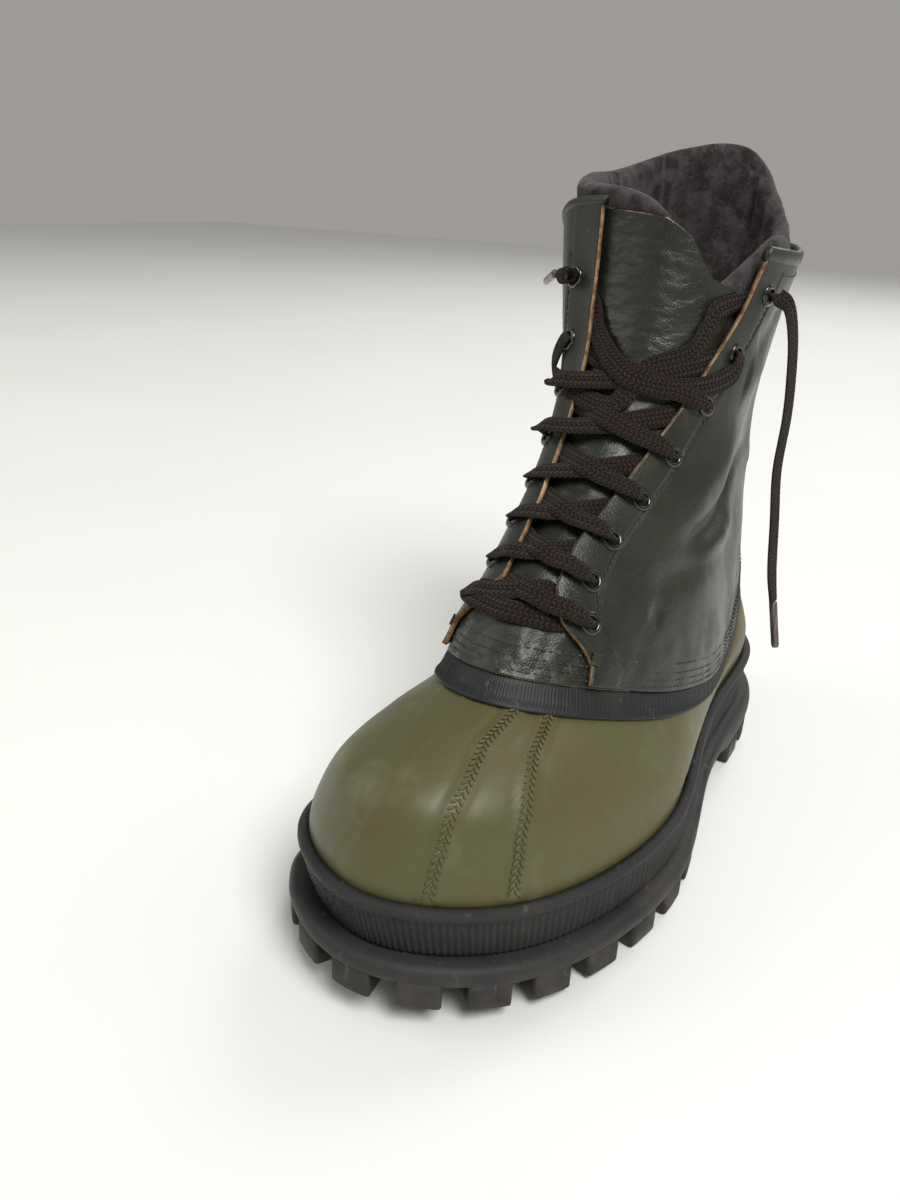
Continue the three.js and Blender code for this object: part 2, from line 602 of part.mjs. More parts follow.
// The short end turns back from the top inner eyelet, and the long one hangs down on the outer side.
const stub = { turn: topInner.turn - stubTurn, v: topInner.v };
const stubRoot = { turn: topInner.turn + stubTurn / 4, v: topInner.v };
lace = lace.add(strapBetween(stubRoot, stub, crossRise / 2));
const filled = lace.simplify(trim).decompose().filter((body) => body.volume() > 0);
add("lace", wasm.Manifold.compose(filled), "lace");
function aglet(name, at, direction) {
  const turned = new THREE.Quaternion().setFromUnitVectors(new THREE.Vector3(0, 1, 0), direction);
  const geometry = new THREE.CylinderGeometry(agletRadius, agletRadius, agletLength, 10);
  geometry.applyQuaternion(turned);
  const middle = at.clone().addScaledVector(direction, agletLength / 2 + clearance);
  add(name, fromGeometry(geometry.translate(middle.x, middle.y, middle.z)), "aglet");
}
const stubEnd = lastOffset(stub.turn, stub.v, laceDepth);
const stubWay = stubEnd.clone().sub(lastOffset(stub.turn + 0.01, stub.v, laceDepth)).normalize();
aglet("aglet_inner", stubEnd, stubWay);

// Points of the hanging end, as steps out, back and up from the top outer eyelet.
const hangStart = lastOffset(topOuter.turn, topOuter.v, laceDepth + laceThick + clearance);
const hang = new THREE.CatmullRomCurve3(
  hangSteps.map(([x, y, z]) => hangStart.clone().add(new THREE.Vector3(x, y, z))), false, "centripetal",
);
const hangNormal = topOuter.normal.clone();
const laceEnd = strapFrom((r) => {
  const tangent = hang.getTangentAt(r);
  const normal = hangNormal.clone().addScaledVector(tangent, -tangent.dot(hangNormal)).normalize();
  return { at: hang.getPointAt(r), normal };
}, 16);
add("lace_end_outer", laceEnd, "lace");
aglet("aglet_outer", hang.getPointAt(1), hang.getTangentAt(1));

// The origin is at the bottom of the boot, in the middle of its box without the hanging end.
const box = new THREE.Box3();
for (const mesh of boot.children) if (!hanging.includes(mesh.name)) box.expandByObject(mesh);
const middle = box.getCenter(new THREE.Vector3());
for (const mesh of boot.children) mesh.position.set(-middle.x, -middle.y, -box.min.z);

export default boot;
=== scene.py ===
import math

import bmesh
import bpy
import numpy as np
from mathutils import Matrix, Vector, noise


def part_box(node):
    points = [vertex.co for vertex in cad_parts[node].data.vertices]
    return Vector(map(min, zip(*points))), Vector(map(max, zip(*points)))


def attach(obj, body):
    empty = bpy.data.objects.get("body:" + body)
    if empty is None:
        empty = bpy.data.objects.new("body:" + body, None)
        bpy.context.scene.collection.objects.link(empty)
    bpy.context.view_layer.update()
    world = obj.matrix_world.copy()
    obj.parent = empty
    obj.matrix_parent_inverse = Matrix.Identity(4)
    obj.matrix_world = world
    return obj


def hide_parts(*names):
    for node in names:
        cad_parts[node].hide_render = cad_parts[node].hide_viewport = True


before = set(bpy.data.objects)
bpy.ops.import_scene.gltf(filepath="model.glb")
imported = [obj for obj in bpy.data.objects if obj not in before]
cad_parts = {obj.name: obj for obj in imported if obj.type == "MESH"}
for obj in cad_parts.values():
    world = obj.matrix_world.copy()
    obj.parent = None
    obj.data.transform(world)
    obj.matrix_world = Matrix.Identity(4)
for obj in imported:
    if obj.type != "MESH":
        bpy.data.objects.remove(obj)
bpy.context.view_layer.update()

# Camera, at the photograph's angle
view = {
    "place": (0.148, -0.377, 0.272),
    "yaw": -30.4,
    "pitch": 23.2,
    "roll": 2.5,
    "focalPixels": 982,
    "imageHeight": 1200,
    "sensorHeight": 36,
}


def makeCamera():
    yaw, pitch, roll = (math.radians(view[key]) for key in ("yaw", "pitch", "roll"))
    ahead = Vector((math.sin(yaw) * math.cos(pitch), math.cos(yaw) * math.cos(pitch), -math.sin(pitch)))
    level = ahead.cross(Vector((0, 0, 1))).normalized()
    upright = level.cross(ahead)
    right = level * math.cos(roll) + upright * math.sin(roll)
    up = upright * math.cos(roll) - level * math.sin(roll)
    data = bpy.data.cameras.new("camera")
    data.sensor_fit = "VERTICAL"
    data.sensor_height = view["sensorHeight"]
    data.lens = view["focalPixels"] * view["sensorHeight"] / view["imageHeight"]
    data.clip_start = 0.01
    camera = bpy.data.objects.new("camera", data)
    turned = Matrix((right, up, -ahead)).transposed().to_4x4()
    camera.matrix_world = Matrix.Translation(view["place"]) @ turned
    bpy.context.scene.collection.objects.link(camera)
    bpy.context.scene.camera = camera


makeCamera()
print("camera made")

# The last that every layer of the boot is built on, in metres. Rings run from the edge of the sole to the top
# of the felt. A turn of 0 is the toe, 0.5 the heel, and the outer side comes first.
last = {
    "length": 0.320,
    "ballWidth": 0.117,
    "collarWidth": 0.112,
    "collarHeight": 0.255,
    "toeSpring": 0.009,
    "heelPitch": 0.008,
    "soleTop": 0.019,
    "lugDepth": 0.0095,
    "archLift": 0.005,
    "clearance": 0.0003,
    "springShare": 0.3,
    "shiftX": 0.0017,
}
ringColumns = "front back lean out inn corner waist arch heel zFront zSide zBack follow shaft".split()
ringTable = (
    (0.012, 0.985, 0.085, 0.49, 0.485, 0.77, 0.79, 0.76, 0.66, 0, 0, 0, 1, 0),  # sole edge
    (0.0, 1.0, 0.095, 0.5, 0.495, 0.8, 0.79, 0.78, 0.68, 0.09, 0.09, 0.09, 1, 0),  # top of the band
    (0.015, 1.0, 0.095, 0.495, 0.49, 0.78, 0.82, 0.81, 0.69, 0.165, 0.105, 0.15, 1, 0),  # toe wall
    (0.045, 0.99, 0.08, 0.475, 0.47, 0.76, 0.87, 0.86, 0.69, 0.235, 0.12, 0.205, 0.9, 0),  # toe cap
    (0.115, 0.98, 0.055, 0.44, 0.435, 0.74, 0.92, 0.91, 0.69, 0.29, 0.135, 0.255, 0.7, 0),  # vamp
    (0.2, 0.97, 0.045, 0.4, 0.395, 0.7, 0.97, 0.96, 0.68, 0.32, 0.155, 0.3, 0.4, 0),  # foot of the strip
    (0.23, 0.955, 0.05, 0.375, 0.37, 0.67, 1.0, 1.0, 0.68, 0.355, 0.195, 0.345, 0.2, 0),  # leather edge
    (0.3, 0.945, 0.05, 0.335, 0.34, 0.64, 1.0, 1.0, 0.68, 0.455, 0.36, 0.46, 0, 0.1),  # throat base
    (0.43, 0.935, 0.045, 0.288, 0.325, 0.66, 0.91, 1.0, 0.69, 0.59, 0.515, 0.575, 0, 0.3),  # ankle
    (0.505, 0.94, 0.04, 0.265, 0.345, 0.69, 0.94, 1.0, 0.69, 0.695, 0.655, 0.685, 0, 0.6),  # above the ankle
    (0.545, 0.955, 0.035, 0.27, 0.4, 0.69, 1.0, 1.0, 0.69, 0.785, 0.77, 0.785, 0, 0.8),  # shaft
    (0.57, 0.97, 0.035, 0.295, 0.465, 0.69, 1.0, 1.0, 0.69, 0.88, 0.865, 0.885, 0, 1),  # high shaft
    (0.59, 0.985, 0.035, 0.325, 0.51, 0.7, 1.0, 1.0, 0.69, 1.0, 0.97, 0.98, 0, 1),  # collar
    (0.59, 0.99, 0.035, 0.345, 0.53, 0.7, 1.0, 1.0, 0.69, 1.07, 1.1, 1.17, 0, 1),  # felt top
)
rings = {name: np.array([row[i] for row in ringTable], float) for i, name in enumerate(ringColumns)}


def mix(a, b, t):
    return a + (b - a) * t


def smooth(t):
    c = np.clip(t, 0, 1)
    return c * c * (3 - 2 * c)


def fromTable(table, x, column=1):
    return np.interp(x, [row[0] for row in table], [row[column] for row in table])


def yAt(share):
    return (share - 0.5) * last["length"]


def springAt(y):
    t = np.maximum(0, (yAt(last["springShare"]) - y) / (yAt(last["springShare"]) - yAt(0)))
    return last["toeSpring"] * t * t


def groundAt(y):
    return springAt(y) + last["heelPitch"] * smooth((y - yAt(0.38)) / (yAt(0.75) - yAt(0.38)))


def ringStations():
    points = np.zeros((len(ringTable), 10, 3))
    width = mix(last["ballWidth"], last["collarWidth"], rings["shaft"])

    def put(station, x, share, z):
        points[:, station, 0] = x
        points[:, station, 1] = yAt(mix(rings["front"], rings["back"], share))
        points[:, station, 2] = last["soleTop"] + last["clearance"] + z * (last["collarHeight"] - last["soleTop"])

    front, side, back = rings["zFront"], rings["zSide"], rings["zBack"]
    put(0, -rings["lean"] * width, 0, front)
    put(5, 0, 1, back)
    for sign, half, waist, at in (
        (1, rings["out"], rings["waist"], (1, 2, 3, 4)),
        (-1, rings["inn"], rings["arch"], (9, 8, 7, 6)),
    ):
        put(at[0], sign * half * rings["corner"] * width - rings["lean"] * width, 0.1, mix(side, front, 0.8))
        put(at[1], sign * half * width, 0.34, mix(side, front, 0.3))
        put(at[2], sign * half * waist * width, 0.6, side)
        put(at[3], sign * half * rings["heel"] * width, 0.87, mix(side, back, 0.6))
    return points


stationPoints = ringStations()


def curveWeights(t):
    before, here = ((2 - t) * t - 1) * t / 2, ((3 * t - 5) * t * t + 2) / 2
    return before, here, ((4 - 3 * t) * t + 1) * t / 2, (t - 1) * t * t / 2


def ringPoint(ring, turn):
    place = (turn % 1) * 10
    station = np.floor(place).astype(int) % 10
    weights = curveWeights(place - np.floor(place))
    point = sum(w[..., None] * stationPoints[ring, (station + k - 1) % 10] for k, w in enumerate(weights))
    point[..., 2] += rings["follow"][ring] * groundAt(point[..., 1])
    return point


def lastPoint(turn, v):
    turn, v = np.broadcast_arrays(np.asarray(turn, float), np.asarray(v, float))
    ring = np.clip(np.floor(v).astype(int), 0, 12)
    here, above = ringPoint(ring, turn), ringPoint(ring + 1, turn)
    low = np.where((ring == 0)[..., None], 2 * here - above, ringPoint(np.maximum(ring - 1, 0), turn))
    high = np.where((ring == 12)[..., None], 2 * above - here, ringPoint(np.minimum(ring + 2, 13), turn))
    weights = curveWeights(v - ring)
    return sum(w[..., None] * p for w, p in zip(weights, (low, here, above, high)))


def lastNormal(turn, v):
    step = 0.002
    across = lastPoint(turn + step, v) - lastPoint(turn - step, v)
    up = lastPoint(turn, v + step * 10) - lastPoint(turn, v - step * 10)
    normal = np.cross(across, up)
    return normal / np.linalg.norm(normal, axis=-1)[..., None]


def onLast(turn, v, depth=0.0):
    turn, v, depth = np.broadcast_arrays(np.asarray(turn, float), np.asarray(v, float), np.asarray(depth, float))
    return lastPoint(turn, v) + lastNormal(turn, v) * depth[..., None] + np.array((last["shiftX"], 0, 0))


# The turn that lies a distance from the front along a level, outwards above zero, and the way back.
def turnAt(v, distance):
    v, distance = np.broadcast_arrays(np.round(np.asarray(v, float), 3), np.asarray(distance, float))
    turn = np.zeros(v.shape)
    samples = np.linspace(0, 0.5, 240)
    for level in np.unique(v):
        for side in (1, -1):
            mine = (v == level) & (np.sign(distance) == side)
            if mine.any():
                path = lastPoint(side * samples, level)
                gone = np.concatenate(([0], np.cumsum(np.linalg.norm(np.diff(path, axis=0), axis=1))))
                turn[mine] = side * np.interp(np.abs(distance[mine]), gone, samples)
    return turn


def distanceAt(turn, v):
    steps = np.linspace(0, 1, 13)
    near = np.where(turn > 0.5, turn - 1, turn)
    path = lastPoint(near[..., None] * steps, v[..., None] + 0 * steps)
    return np.linalg.norm(np.diff(path, axis=-2), axis=-1).sum(-1) * np.sign(near)


levelOf = {"sole": 0, "edge": 6, "lap": 6.5, "vamp": 7.5, "collar": 12, "felt": 13}
print("last ready")


# Materials, from a few helpers
def addNode(tree, kind, inputs=None, **settings):
    node = tree.nodes.new("ShaderNode" + kind)
    for key, value in settings.items():
        setattr(node, key, value)
    for key, value in (inputs or {}).items():
        if isinstance(value, bpy.types.NodeSocket):
            tree.links.new(value, node.inputs[key])
        else:
            node.inputs[key].default_value = value
    return node


def newMaterial(name, **sockets):
    material = bpy.data.materials.new(name)
    material.use_nodes = True
    shader = material.node_tree.nodes["Principled BSDF"]
    for key, value in sockets.items():
        shader.inputs[key.replace("_", " ")].default_value = value
    return material, material.node_tree, shader


def place(tree, scale=(1, 1, 1)):
    coordinate = addNode(tree, "TexCoord").outputs["Object"]
    return addNode(tree, "Mapping", {"Vector": coordinate, "Scale": scale}).outputs[0]


def cloudy(tree, vector, scale, detail=4.0, rough=0.55):
    inputs = {"Vector": vector, "Scale": scale, "Detail": detail, "Roughness": rough}
    return addNode(tree, "TexNoise", inputs).outputs[0]


def band(tree, value, low, high):
    clamped = {"Value": value, "From Min": low, "From Max": high}
    return addNode(tree, "MapRange", clamped, interpolation_type="SMOOTHSTEP").outputs[0]


def math2(tree, operation, a, b=0.0, c=0.0):
    return addNode(tree, "Math", {0: a, 1: b, 2: c}, operation=operation).outputs[0]


def blendColor(tree, share, a, b, mode="MIX"):
    node = addNode(tree, "Mix", data_type="RGBA", blend_type=mode)
    for index, value in ((0, share), (6, a), (7, b)):
        if isinstance(value, bpy.types.NodeSocket):
            tree.links.new(value, node.inputs[index])
        else:
            node.inputs[index].default_value = value if index == 0 else (*value, 1)
    return node.outputs[2]


def bump(tree, height, distance, strength=1.0, before=None):
    inputs = {"Height": height, "Distance": distance, "Strength": strength}
    if before is not None:
        inputs["Normal"] = before
    return addNode(tree, "Bump", inputs).outputs[0]


def link(tree, shader, **sockets):
    for key, value in sockets.items():
        tree.links.new(value, shader.inputs[key.replace("_", " ")])


finish = {
    "green": (0.080, 0.082, 0.030),
    "greenBrown": (0.086, 0.072, 0.027),
    "greenPale": (0.112, 0.118, 0.056),
    "black": (0.016, 0.016, 0.017),
    "blackWorn": (0.030, 0.029, 0.028),
    "dust": (0.13, 0.10, 0.07),
    "leather": (0.010, 0.0115, 0.007),
    "leatherPale": (0.019, 0.021, 0.013),
    "rawEdge": (0.30, 0.18, 0.08),
    "rawEdgeDark": (0.14, 0.065, 0.025),
    "thread": (0.024, 0.026, 0.016),
    "threadWorn": (0.16, 0.15, 0.12),
    "lace": (0.030, 0.019, 0.014),
    # The lace's darkest colour is painted shade for the grooves of its weave.
    "laceGrooveShade": (0.006, 0.004, 0.003),
    "felt": (0.052, 0.043, 0.044),
    # The felt's darker colour is painted shade for the hollows of its lumps.
    "feltHollowShade": (0.018, 0.013, 0.013),
    "feltFluff": (0.12, 0.10, 0.098),
}


def greenRubber():
    sockets = {"Coat_Weight": 0.05, "Coat_Roughness": 0.35, "Specular_IOR_Level": 0.35}
    material, tree, shader = newMaterial("greenRubber", **sockets)
    spot = place(tree)
    patches = cloudy(tree, spot, 14, 5)
    color = blendColor(tree, band(tree, patches, 0.42, 0.62), finish["green"], finish["greenBrown"])
    color = blendColor(tree, band(tree, cloudy(tree, spot, 45, 6), 0.55, 0.75), color, finish["greenPale"])
    streaks = cloudy(tree, place(tree, (1, 0.25, 1)), 160, 3)
    color = blendColor(tree, math2(tree, "MULTIPLY", band(tree, streaks, 0.6, 0.8), 0.25), color, (0.06, 0.055, 0.025))
    rough = mixValue(tree, band(tree, patches, 0.35, 0.7), 0.38, 0.5)
    fine = bump(tree, cloudy(tree, spot, 900, 3), 0.00004)
    dents = bump(tree, cloudy(tree, spot, 60, 3), 0.0002, before=fine)
    link(tree, shader, Base_Color=color, Roughness=rough, Normal=dents)
    return material


def mixValue(tree, share, a, b):
    return addNode(tree, "MapRange", {"Value": share, "To Min": a, "To Max": b}).outputs[0]


def blackRubber(name="blackRubber", hatch=False):
    material, tree, shader = newMaterial(name, Specular_IOR_Level=0.25)
    spot = place(tree)
    patches = cloudy(tree, spot, 22, 6)
    color = blendColor(tree, band(tree, patches, 0.4, 0.65), finish["black"], finish["blackWorn"])
    height = addNode(tree, "SeparateXYZ", {0: spot}).outputs["Z"]
    low = math2(tree, "MULTIPLY", band(tree, height, 0.03, 0.0), band(tree, cloudy(tree, spot, 70, 5), 0.4, 0.7))
    color = blendColor(tree, math2(tree, "MULTIPLY", low, 0.45), color, finish["dust"])
    scuffs = band(tree, cloudy(tree, place(tree, (1, 1, 0.3)), 240, 4), 0.62, 0.74)
    color = blendColor(tree, math2(tree, "MULTIPLY", scuffs, 0.5), color, (0.11, 0.105, 0.10))
    rough = mixValue(tree, band(tree, patches, 0.3, 0.7), 0.42, 0.62)
    normal = bump(tree, cloudy(tree, spot, 1100, 3), 0.00008)
    if hatch:
        uv = addNode(tree, "TexCoord").outputs["UV"]
        for angle in (0.9, -0.9):
            turned = addNode(tree, "Mapping", {"Vector": uv, "Rotation": (0, 0, angle)}).outputs[0]
            lines = addNode(tree, "TexWave", {"Vector": turned, "Scale": 320, "Distortion": 0.4}).outputs["Fac"]
            normal = bump(tree, lines, 0.00018, 0.7, before=normal)
    link(tree, shader, Base_Color=color, Roughness=rough, Normal=normal)
    return material


def oiledLeather():
    sockets = {"Coat_Weight": 0.08, "Coat_Roughness": 0.28, "Specular_IOR_Level": 0.4}
    material, tree, shader = newMaterial("oiledLeather", **sockets)
    spot = place(tree)
    patches = cloudy(tree, spot, 18, 5)
    color = blendColor(tree, band(tree, patches, 0.4, 0.65), finish["leather"], finish["leatherPale"])
    rub = band(tree, cloudy(tree, spot, 75, 7, 0.65), 0.62, 0.78)
    color = blendColor(tree, math2(tree, "MULTIPLY", rub, 0.35), color, (0.09, 0.07, 0.04))
    scar = addNode(tree, "VectorMath", {0: spot, 1: (0.0490, 0.062, 0.122)}, operation="DISTANCE").outputs["Value"]
    torn = math2(tree, "MULTIPLY", band(tree, scar, 0.009, 0.002), band(tree, cloudy(tree, spot, 500, 4), 0.45, 0.6))
    color = blendColor(tree, torn, color, (0.30, 0.14, 0.05))
    rough = mixValue(tree, band(tree, cloudy(tree, spot, 40, 5), 0.3, 0.7), 0.3, 0.48)
    cells = addNode(tree, "TexVoronoi", {"Vector": spot, "Scale": 900}, feature="DISTANCE_TO_EDGE").outputs["Distance"]
    grain = bump(tree, band(tree, cells, 0.0, 0.35), 0.00012, 0.5)
    wrinkles = bump(tree, cloudy(tree, place(tree, (1, 1, 2.2)), 190, 5, 0.6), 0.0004, 0.6, before=grain)
    link(tree, shader, Base_Color=color, Roughness=rough, Normal=wrinkles)
    return material


def rawLeatherEdge():
    material, tree, shader = newMaterial("rawLeatherEdge", Roughness=0.85)
    spot = place(tree)
    fibres = band(tree, cloudy(tree, spot, 260, 5), 0.42, 0.6)
    color = blendColor(tree, fibres, finish["rawEdge"], finish["rawEdgeDark"])
    color = blendColor(tree, band(tree, cloudy(tree, spot, 60, 4), 0.52, 0.68), color, (0.5, 0.33, 0.16))
    link(tree, shader, Base_Color=color, Normal=bump(tree, cloudy(tree, spot, 1200, 4), 0.0003))
    return material


def sewingThread():
    material, tree, shader = newMaterial("sewingThread", Roughness=0.7)
    worn = band(tree, cloudy(tree, place(tree), 90, 4), 0.55, 0.68)
    color = blendColor(tree, math2(tree, "MULTIPLY", worn, 0.55), finish["thread"], finish["threadWorn"])
    link(tree, shader, Base_Color=color, Normal=bump(tree, cloudy(tree, place(tree), 2500, 2), 0.0001))
    return material


def eyeletEnamel():
    material, tree, shader = newMaterial("eyeletEnamel", Coat_Weight=0.6, Coat_Roughness=0.08)
    worn = band(tree, cloudy(tree, place(tree), 420, 5), 0.62, 0.72)
    color = blendColor(tree, math2(tree, "MULTIPLY", worn, 0.4), (0.008, 0.008, 0.009), (0.12, 0.10, 0.08))
    rough = mixValue(tree, worn, 0.16, 0.4)
    link(tree, shader, Base_Color=color, Roughness=rough)
    return material


# The weave of the lace: columns of slanted stitches that lean to and fro, from the ribbon's own UV in metres.
def wovenLace():
    sockets = {"Roughness": 0.85, "Sheen_Weight": 0.06, "Sheen_Roughness": 0.4, "Specular_IOR_Level": 0.15}
    material, tree, shader = newMaterial("wovenLace", **sockets)
    uv = addNode(tree, "SeparateXYZ", {0: addNode(tree, "TexCoord").outputs["UV"]})
    along, across = uv.outputs[0], uv.outputs[1]
    columns = 7.0
    column = math2(tree, "MULTIPLY", across, columns)
    zigzag = math2(tree, "PINGPONG", column, 1.0)
    slanted = math2(tree, "ADD", math2(tree, "MULTIPLY", along, 1 / 0.0021), math2(tree, "MULTIPLY", zigzag, 0.75))
    stitch = math2(tree, "ABSOLUTE", math2(tree, "SUBTRACT", math2(tree, "FRACT", slanted), 0.5))
    groove = math2(tree, "ABSOLUTE", math2(tree, "SUBTRACT", math2(tree, "FRACT", column), 0.5))
    height = math2(tree, "MULTIPLY", band(tree, stitch, 0.5, 0.1), band(tree, groove, 0.5, 0.25))
    # The grooves between the stitches are painted near black: painted shade in the weave, on top of the bump.
    color = blendColor(tree, height, finish["laceGrooveShade"], finish["lace"])
    fuzz = cloudy(tree, place(tree), 700, 4)
    color = blendColor(tree, math2(tree, "MULTIPLY", band(tree, fuzz, 0.5, 0.75), 0.4), color, (0.048, 0.034, 0.026))
    normal = bump(tree, height, 0.0007, 0.9, before=bump(tree, fuzz, 0.0001))
    link(tree, shader, Base_Color=color, Normal=normal)
    return material


def agletPlastic():
    material, tree, shader = newMaterial("agletPlastic", Coat_Weight=0.3, Coat_Roughness=0.2)
    tone = cloudy(tree, place(tree, (1, 1, 0.1)), 900, 3)
    color = blendColor(tree, band(tree, tone, 0.4, 0.65), (0.055, 0.042, 0.038), (0.16, 0.125, 0.115))
    link(tree, shader, Base_Color=color, Roughness=mixValue(tree, tone, 0.25, 0.45))
    return material


def woolFelt():
    sockets = {"Roughness": 0.95, "Sheen_Weight": 0.15, "Sheen_Roughness": 0.5, "Specular_IOR_Level": 0.2}
    material, tree, shader = newMaterial("woolFelt", **sockets)
    spot = place(tree)
    mottled = cloudy(tree, spot, 120, 6, 0.65)
    # The felt is painted darker in the hollows of its lumps, from the same noise as their bump: painted shade.
    color = blendColor(tree, band(tree, mottled, 0.36, 0.62), finish["feltHollowShade"], finish["felt"])
    fibres = band(tree, cloudy(tree, spot, 650, 5, 0.7), 0.56, 0.72)
    color = blendColor(tree, math2(tree, "MULTIPLY", fibres, 0.7), color, finish["feltFluff"])
    lumps = bump(tree, mottled, 0.0012, 0.8)
    link(tree, shader, Base_Color=color, Normal=bump(tree, cloudy(tree, spot, 900, 5, 0.7), 0.0005, 0.9, before=lumps))
    return material


paint = {
    "green": greenRubber(),
    "black": blackRubber(),
    "ribbed": blackRubber("ribbedRubber", hatch=True),
    "leather": oiledLeather(),
    "rawEdge": rawLeatherEdge(),
    "thread": sewingThread(),
    "enamel": eyeletEnamel(),
    "lace": wovenLace(),
    "aglet": agletPlastic(),
    "felt": woolFelt(),
}
print("materials ready")


# A piece of the boot: an object at the origin, which takes its materials and hides the CAD nodes it stands for.
def makePiece(name, mesh, materials, nodes=()):
    piece = bpy.data.objects.new(name, mesh)
    bpy.context.scene.collection.objects.link(piece)
    for key in materials:
        mesh.materials.append(paint[key])
    mesh.polygons.foreach_set("use_smooth", [True] * len(mesh.polygons))
    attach(piece, "root")
    if nodes:
        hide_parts(*nodes)
    return piece


# A grid whose points are laid by lay(across, along), from shares of 0 to 1, with a UV map in metres.
def gridMesh(name, columns, rows, lay, size=(1.0, 1.0)):
    grid = bmesh.new()
    bmesh.ops.create_grid(grid, x_segments=columns, y_segments=rows, size=0.5)
    mesh = bpy.data.meshes.new(name)
    grid.to_mesh(mesh)
    grid.free()
    flat = np.empty(len(mesh.vertices) * 3)
    mesh.vertices.foreach_get("co", flat)
    shares = np.round(flat.reshape(-1, 3)[:, :2] + 0.5, 5)
    mesh.vertices.foreach_set("co", lay(shares[:, 0], shares[:, 1]).ravel())
    corners = np.empty(len(mesh.loops), dtype=np.int32)
    mesh.loops.foreach_get("vertex_index", corners)
    uv = mesh.uv_layers.new(name="UVMap")
    flatUv = size(shares[:, 0], shares[:, 1]) if callable(size) else shares * np.array(size)
    uv.data.foreach_set("uv", flatUv[corners].astype(np.float32).ravel())
    welded = bmesh.new()
    welded.from_mesh(mesh)
    bmesh.ops.remove_doubles(welded, verts=welded.verts, dist=1e-6)
    welded.to_mesh(mesh)
    welded.free()
    mesh.update()
    return mesh


def thicken(piece, thickness, rim=1):
    wall = piece.modifiers.new("wall", "SOLIDIFY")
    wall.thickness = thickness
    wall.offset = -1
    wall.use_even_offset = False
    wall.material_offset_rim = rim
    return wall


# Fills what is open and turns the faces of a closed form outwards.
def closeEnds(mesh):
    filled = bmesh.new()
    filled.from_mesh(mesh)
    bmesh.ops.holes_fill(filled, edges=[e for e in filled.edges if e.is_boundary], sides=0)
    bmesh.ops.recalc_face_normals(filled, faces=filled.faces)
    filled.to_mesh(mesh)
    filled.free()
    return mesh


def joinMeshes(name, makers):
    whole = bmesh.new()
    for maker in makers:
        maker(whole)
    mesh = bpy.data.meshes.new(name)
    whole.to_mesh(mesh)
    whole.free()
    return mesh


# Small waves of a surface, the same on every run.
def waves(points, scale, seed=0.0):
    return np.array([noise.noise(Vector((p[0] * scale + seed, p[1] * scale, p[2] * scale))) for p in points])


# How far each place is from a line of (turn, v) marks, in metres, and the (turn, v) places along that line.
def lineOn(marks, count=80):
    marks = np.array(marks, float)
    t = np.linspace(0, len(marks) - 1, count)
    return np.interp(t, range(len(marks)), marks[:, 0]), np.interp(t, range(len(marks)), marks[:, 1])


def nearLine(points, marks, depth=0.0, count=80):
    turn, v = lineOn(marks, count)
    line = onLast(turn, v, depth)
    found = np.empty(len(points))
    for start in range(0, len(points), 4000):
        part = points[start:start + 4000]
        found[start:start + 4000] = np.sqrt(((part[:, None] - line[None]) ** 2).sum(-1)).min(1)
    return found


# Stamps a small mesh many times into one.
def stampMesh(name, unit, matrices):
    whole = bmesh.new()
    for matrix in matrices:
        one = unit.copy()
        one.transform(matrix)
        whole.from_mesh(one)
        bpy.data.meshes.remove(one)
    mesh = bpy.data.meshes.new(name)
    whole.to_mesh(mesh)
    whole.free()
    return mesh


def unitBall(segments=8, rings=5):
    ball = bmesh.new()
    bmesh.ops.create_uvsphere(ball, u_segments=segments, v_segments=rings, radius=1)
    mesh = bpy.data.meshes.new("unitBall")
    ball.to_mesh(mesh)
    ball.free()
    return mesh


# Axes at a place: x along a direction, z out of the surface.
def frameAt(point, ahead, normal, size):
    side = normal.cross(ahead).normalized()
    along = side.cross(normal).normalized()
    turned = Matrix((along, side, normal)).transposed().to_4x4()
    return Matrix.Translation(point) @ turned @ Matrix.Diagonal((*size, 1))


# A row of stitches along a line of places: each is a small capsule, turned along the row or askew to it.
def walk(turn, v, depth, pitch):
    line = onLast(turn, v, depth)
    gone = np.concatenate(([0], np.cumsum(np.linalg.norm(np.diff(line, axis=0), axis=1))))
    return np.interp(np.arange(pitch / 2, gone[-1], pitch), gone, np.arange(len(turn)))


def stitchRow(turn, v, depth, pitch, size, skew=0.0):
    turn, v = np.asarray(turn, float), np.asarray(v, float)
    depth = np.broadcast_to(np.asarray(depth, float), turn.shape)
    places = walk(turn, v, depth, pitch)
    index = np.arange(len(turn))
    at = onLast(np.interp(places, index, turn), np.interp(places, index, v), np.interp(places, index, depth))
    further = places + 0.3
    deep = np.interp(places, index, depth)
    ahead = onLast(np.interp(further, index, turn), np.interp(further, index, v), deep)
    normals = lastNormal(np.interp(places, index, turn), np.interp(places, index, v))
    found = []
    for point, further, normal in zip(at, ahead, normals):
        normal = Vector(normal)
        on = (Vector(further) - Vector(point)).normalized()
        on = on + normal.cross(on) * skew
        found.append(frameAt(Vector(point), on, normal, size))
    return found


# Sizes of the leather: two quarters in one wall, open at the throat, over a lumpy piece in front of it
leather = {
    "columns": 330,
    "rows": 135,
    "wall": 0.0022,
    "throatGap": 0.076,
    "tabLift": 0.0013,
    "liftReach": 0.025,
    "vampTurn": 5 / 36,
    "eyeletInset": 0.012,
    "eyestay": 0.0175,
    "cornerRise": 0.75,
    "stitchRows": (0.0026, 0.0056, 0.0086, 0.0122),
    "stitchPitch": 0.0031,
    "stitch": (0.00115, 0.00042, 0.00036),
}

# Shares of the throat's gap at each level, to the outer edge and to the inner edge.
throatShares = (
    (6, 0.5, 0.48), (6.3, 0.48, 0.46), (6.5, 0.4, 0.38), (6.75, 0.24, 0.22), (7.1, 0.14, 0.1),
    (7.5, 0.13, 0.12), (8, 0.2, 0.18), (9, 0.33, 0.22), (10, 0.46, 0.24), (11, 0.6, 0.27), (12, 0.7, 0.3),
)


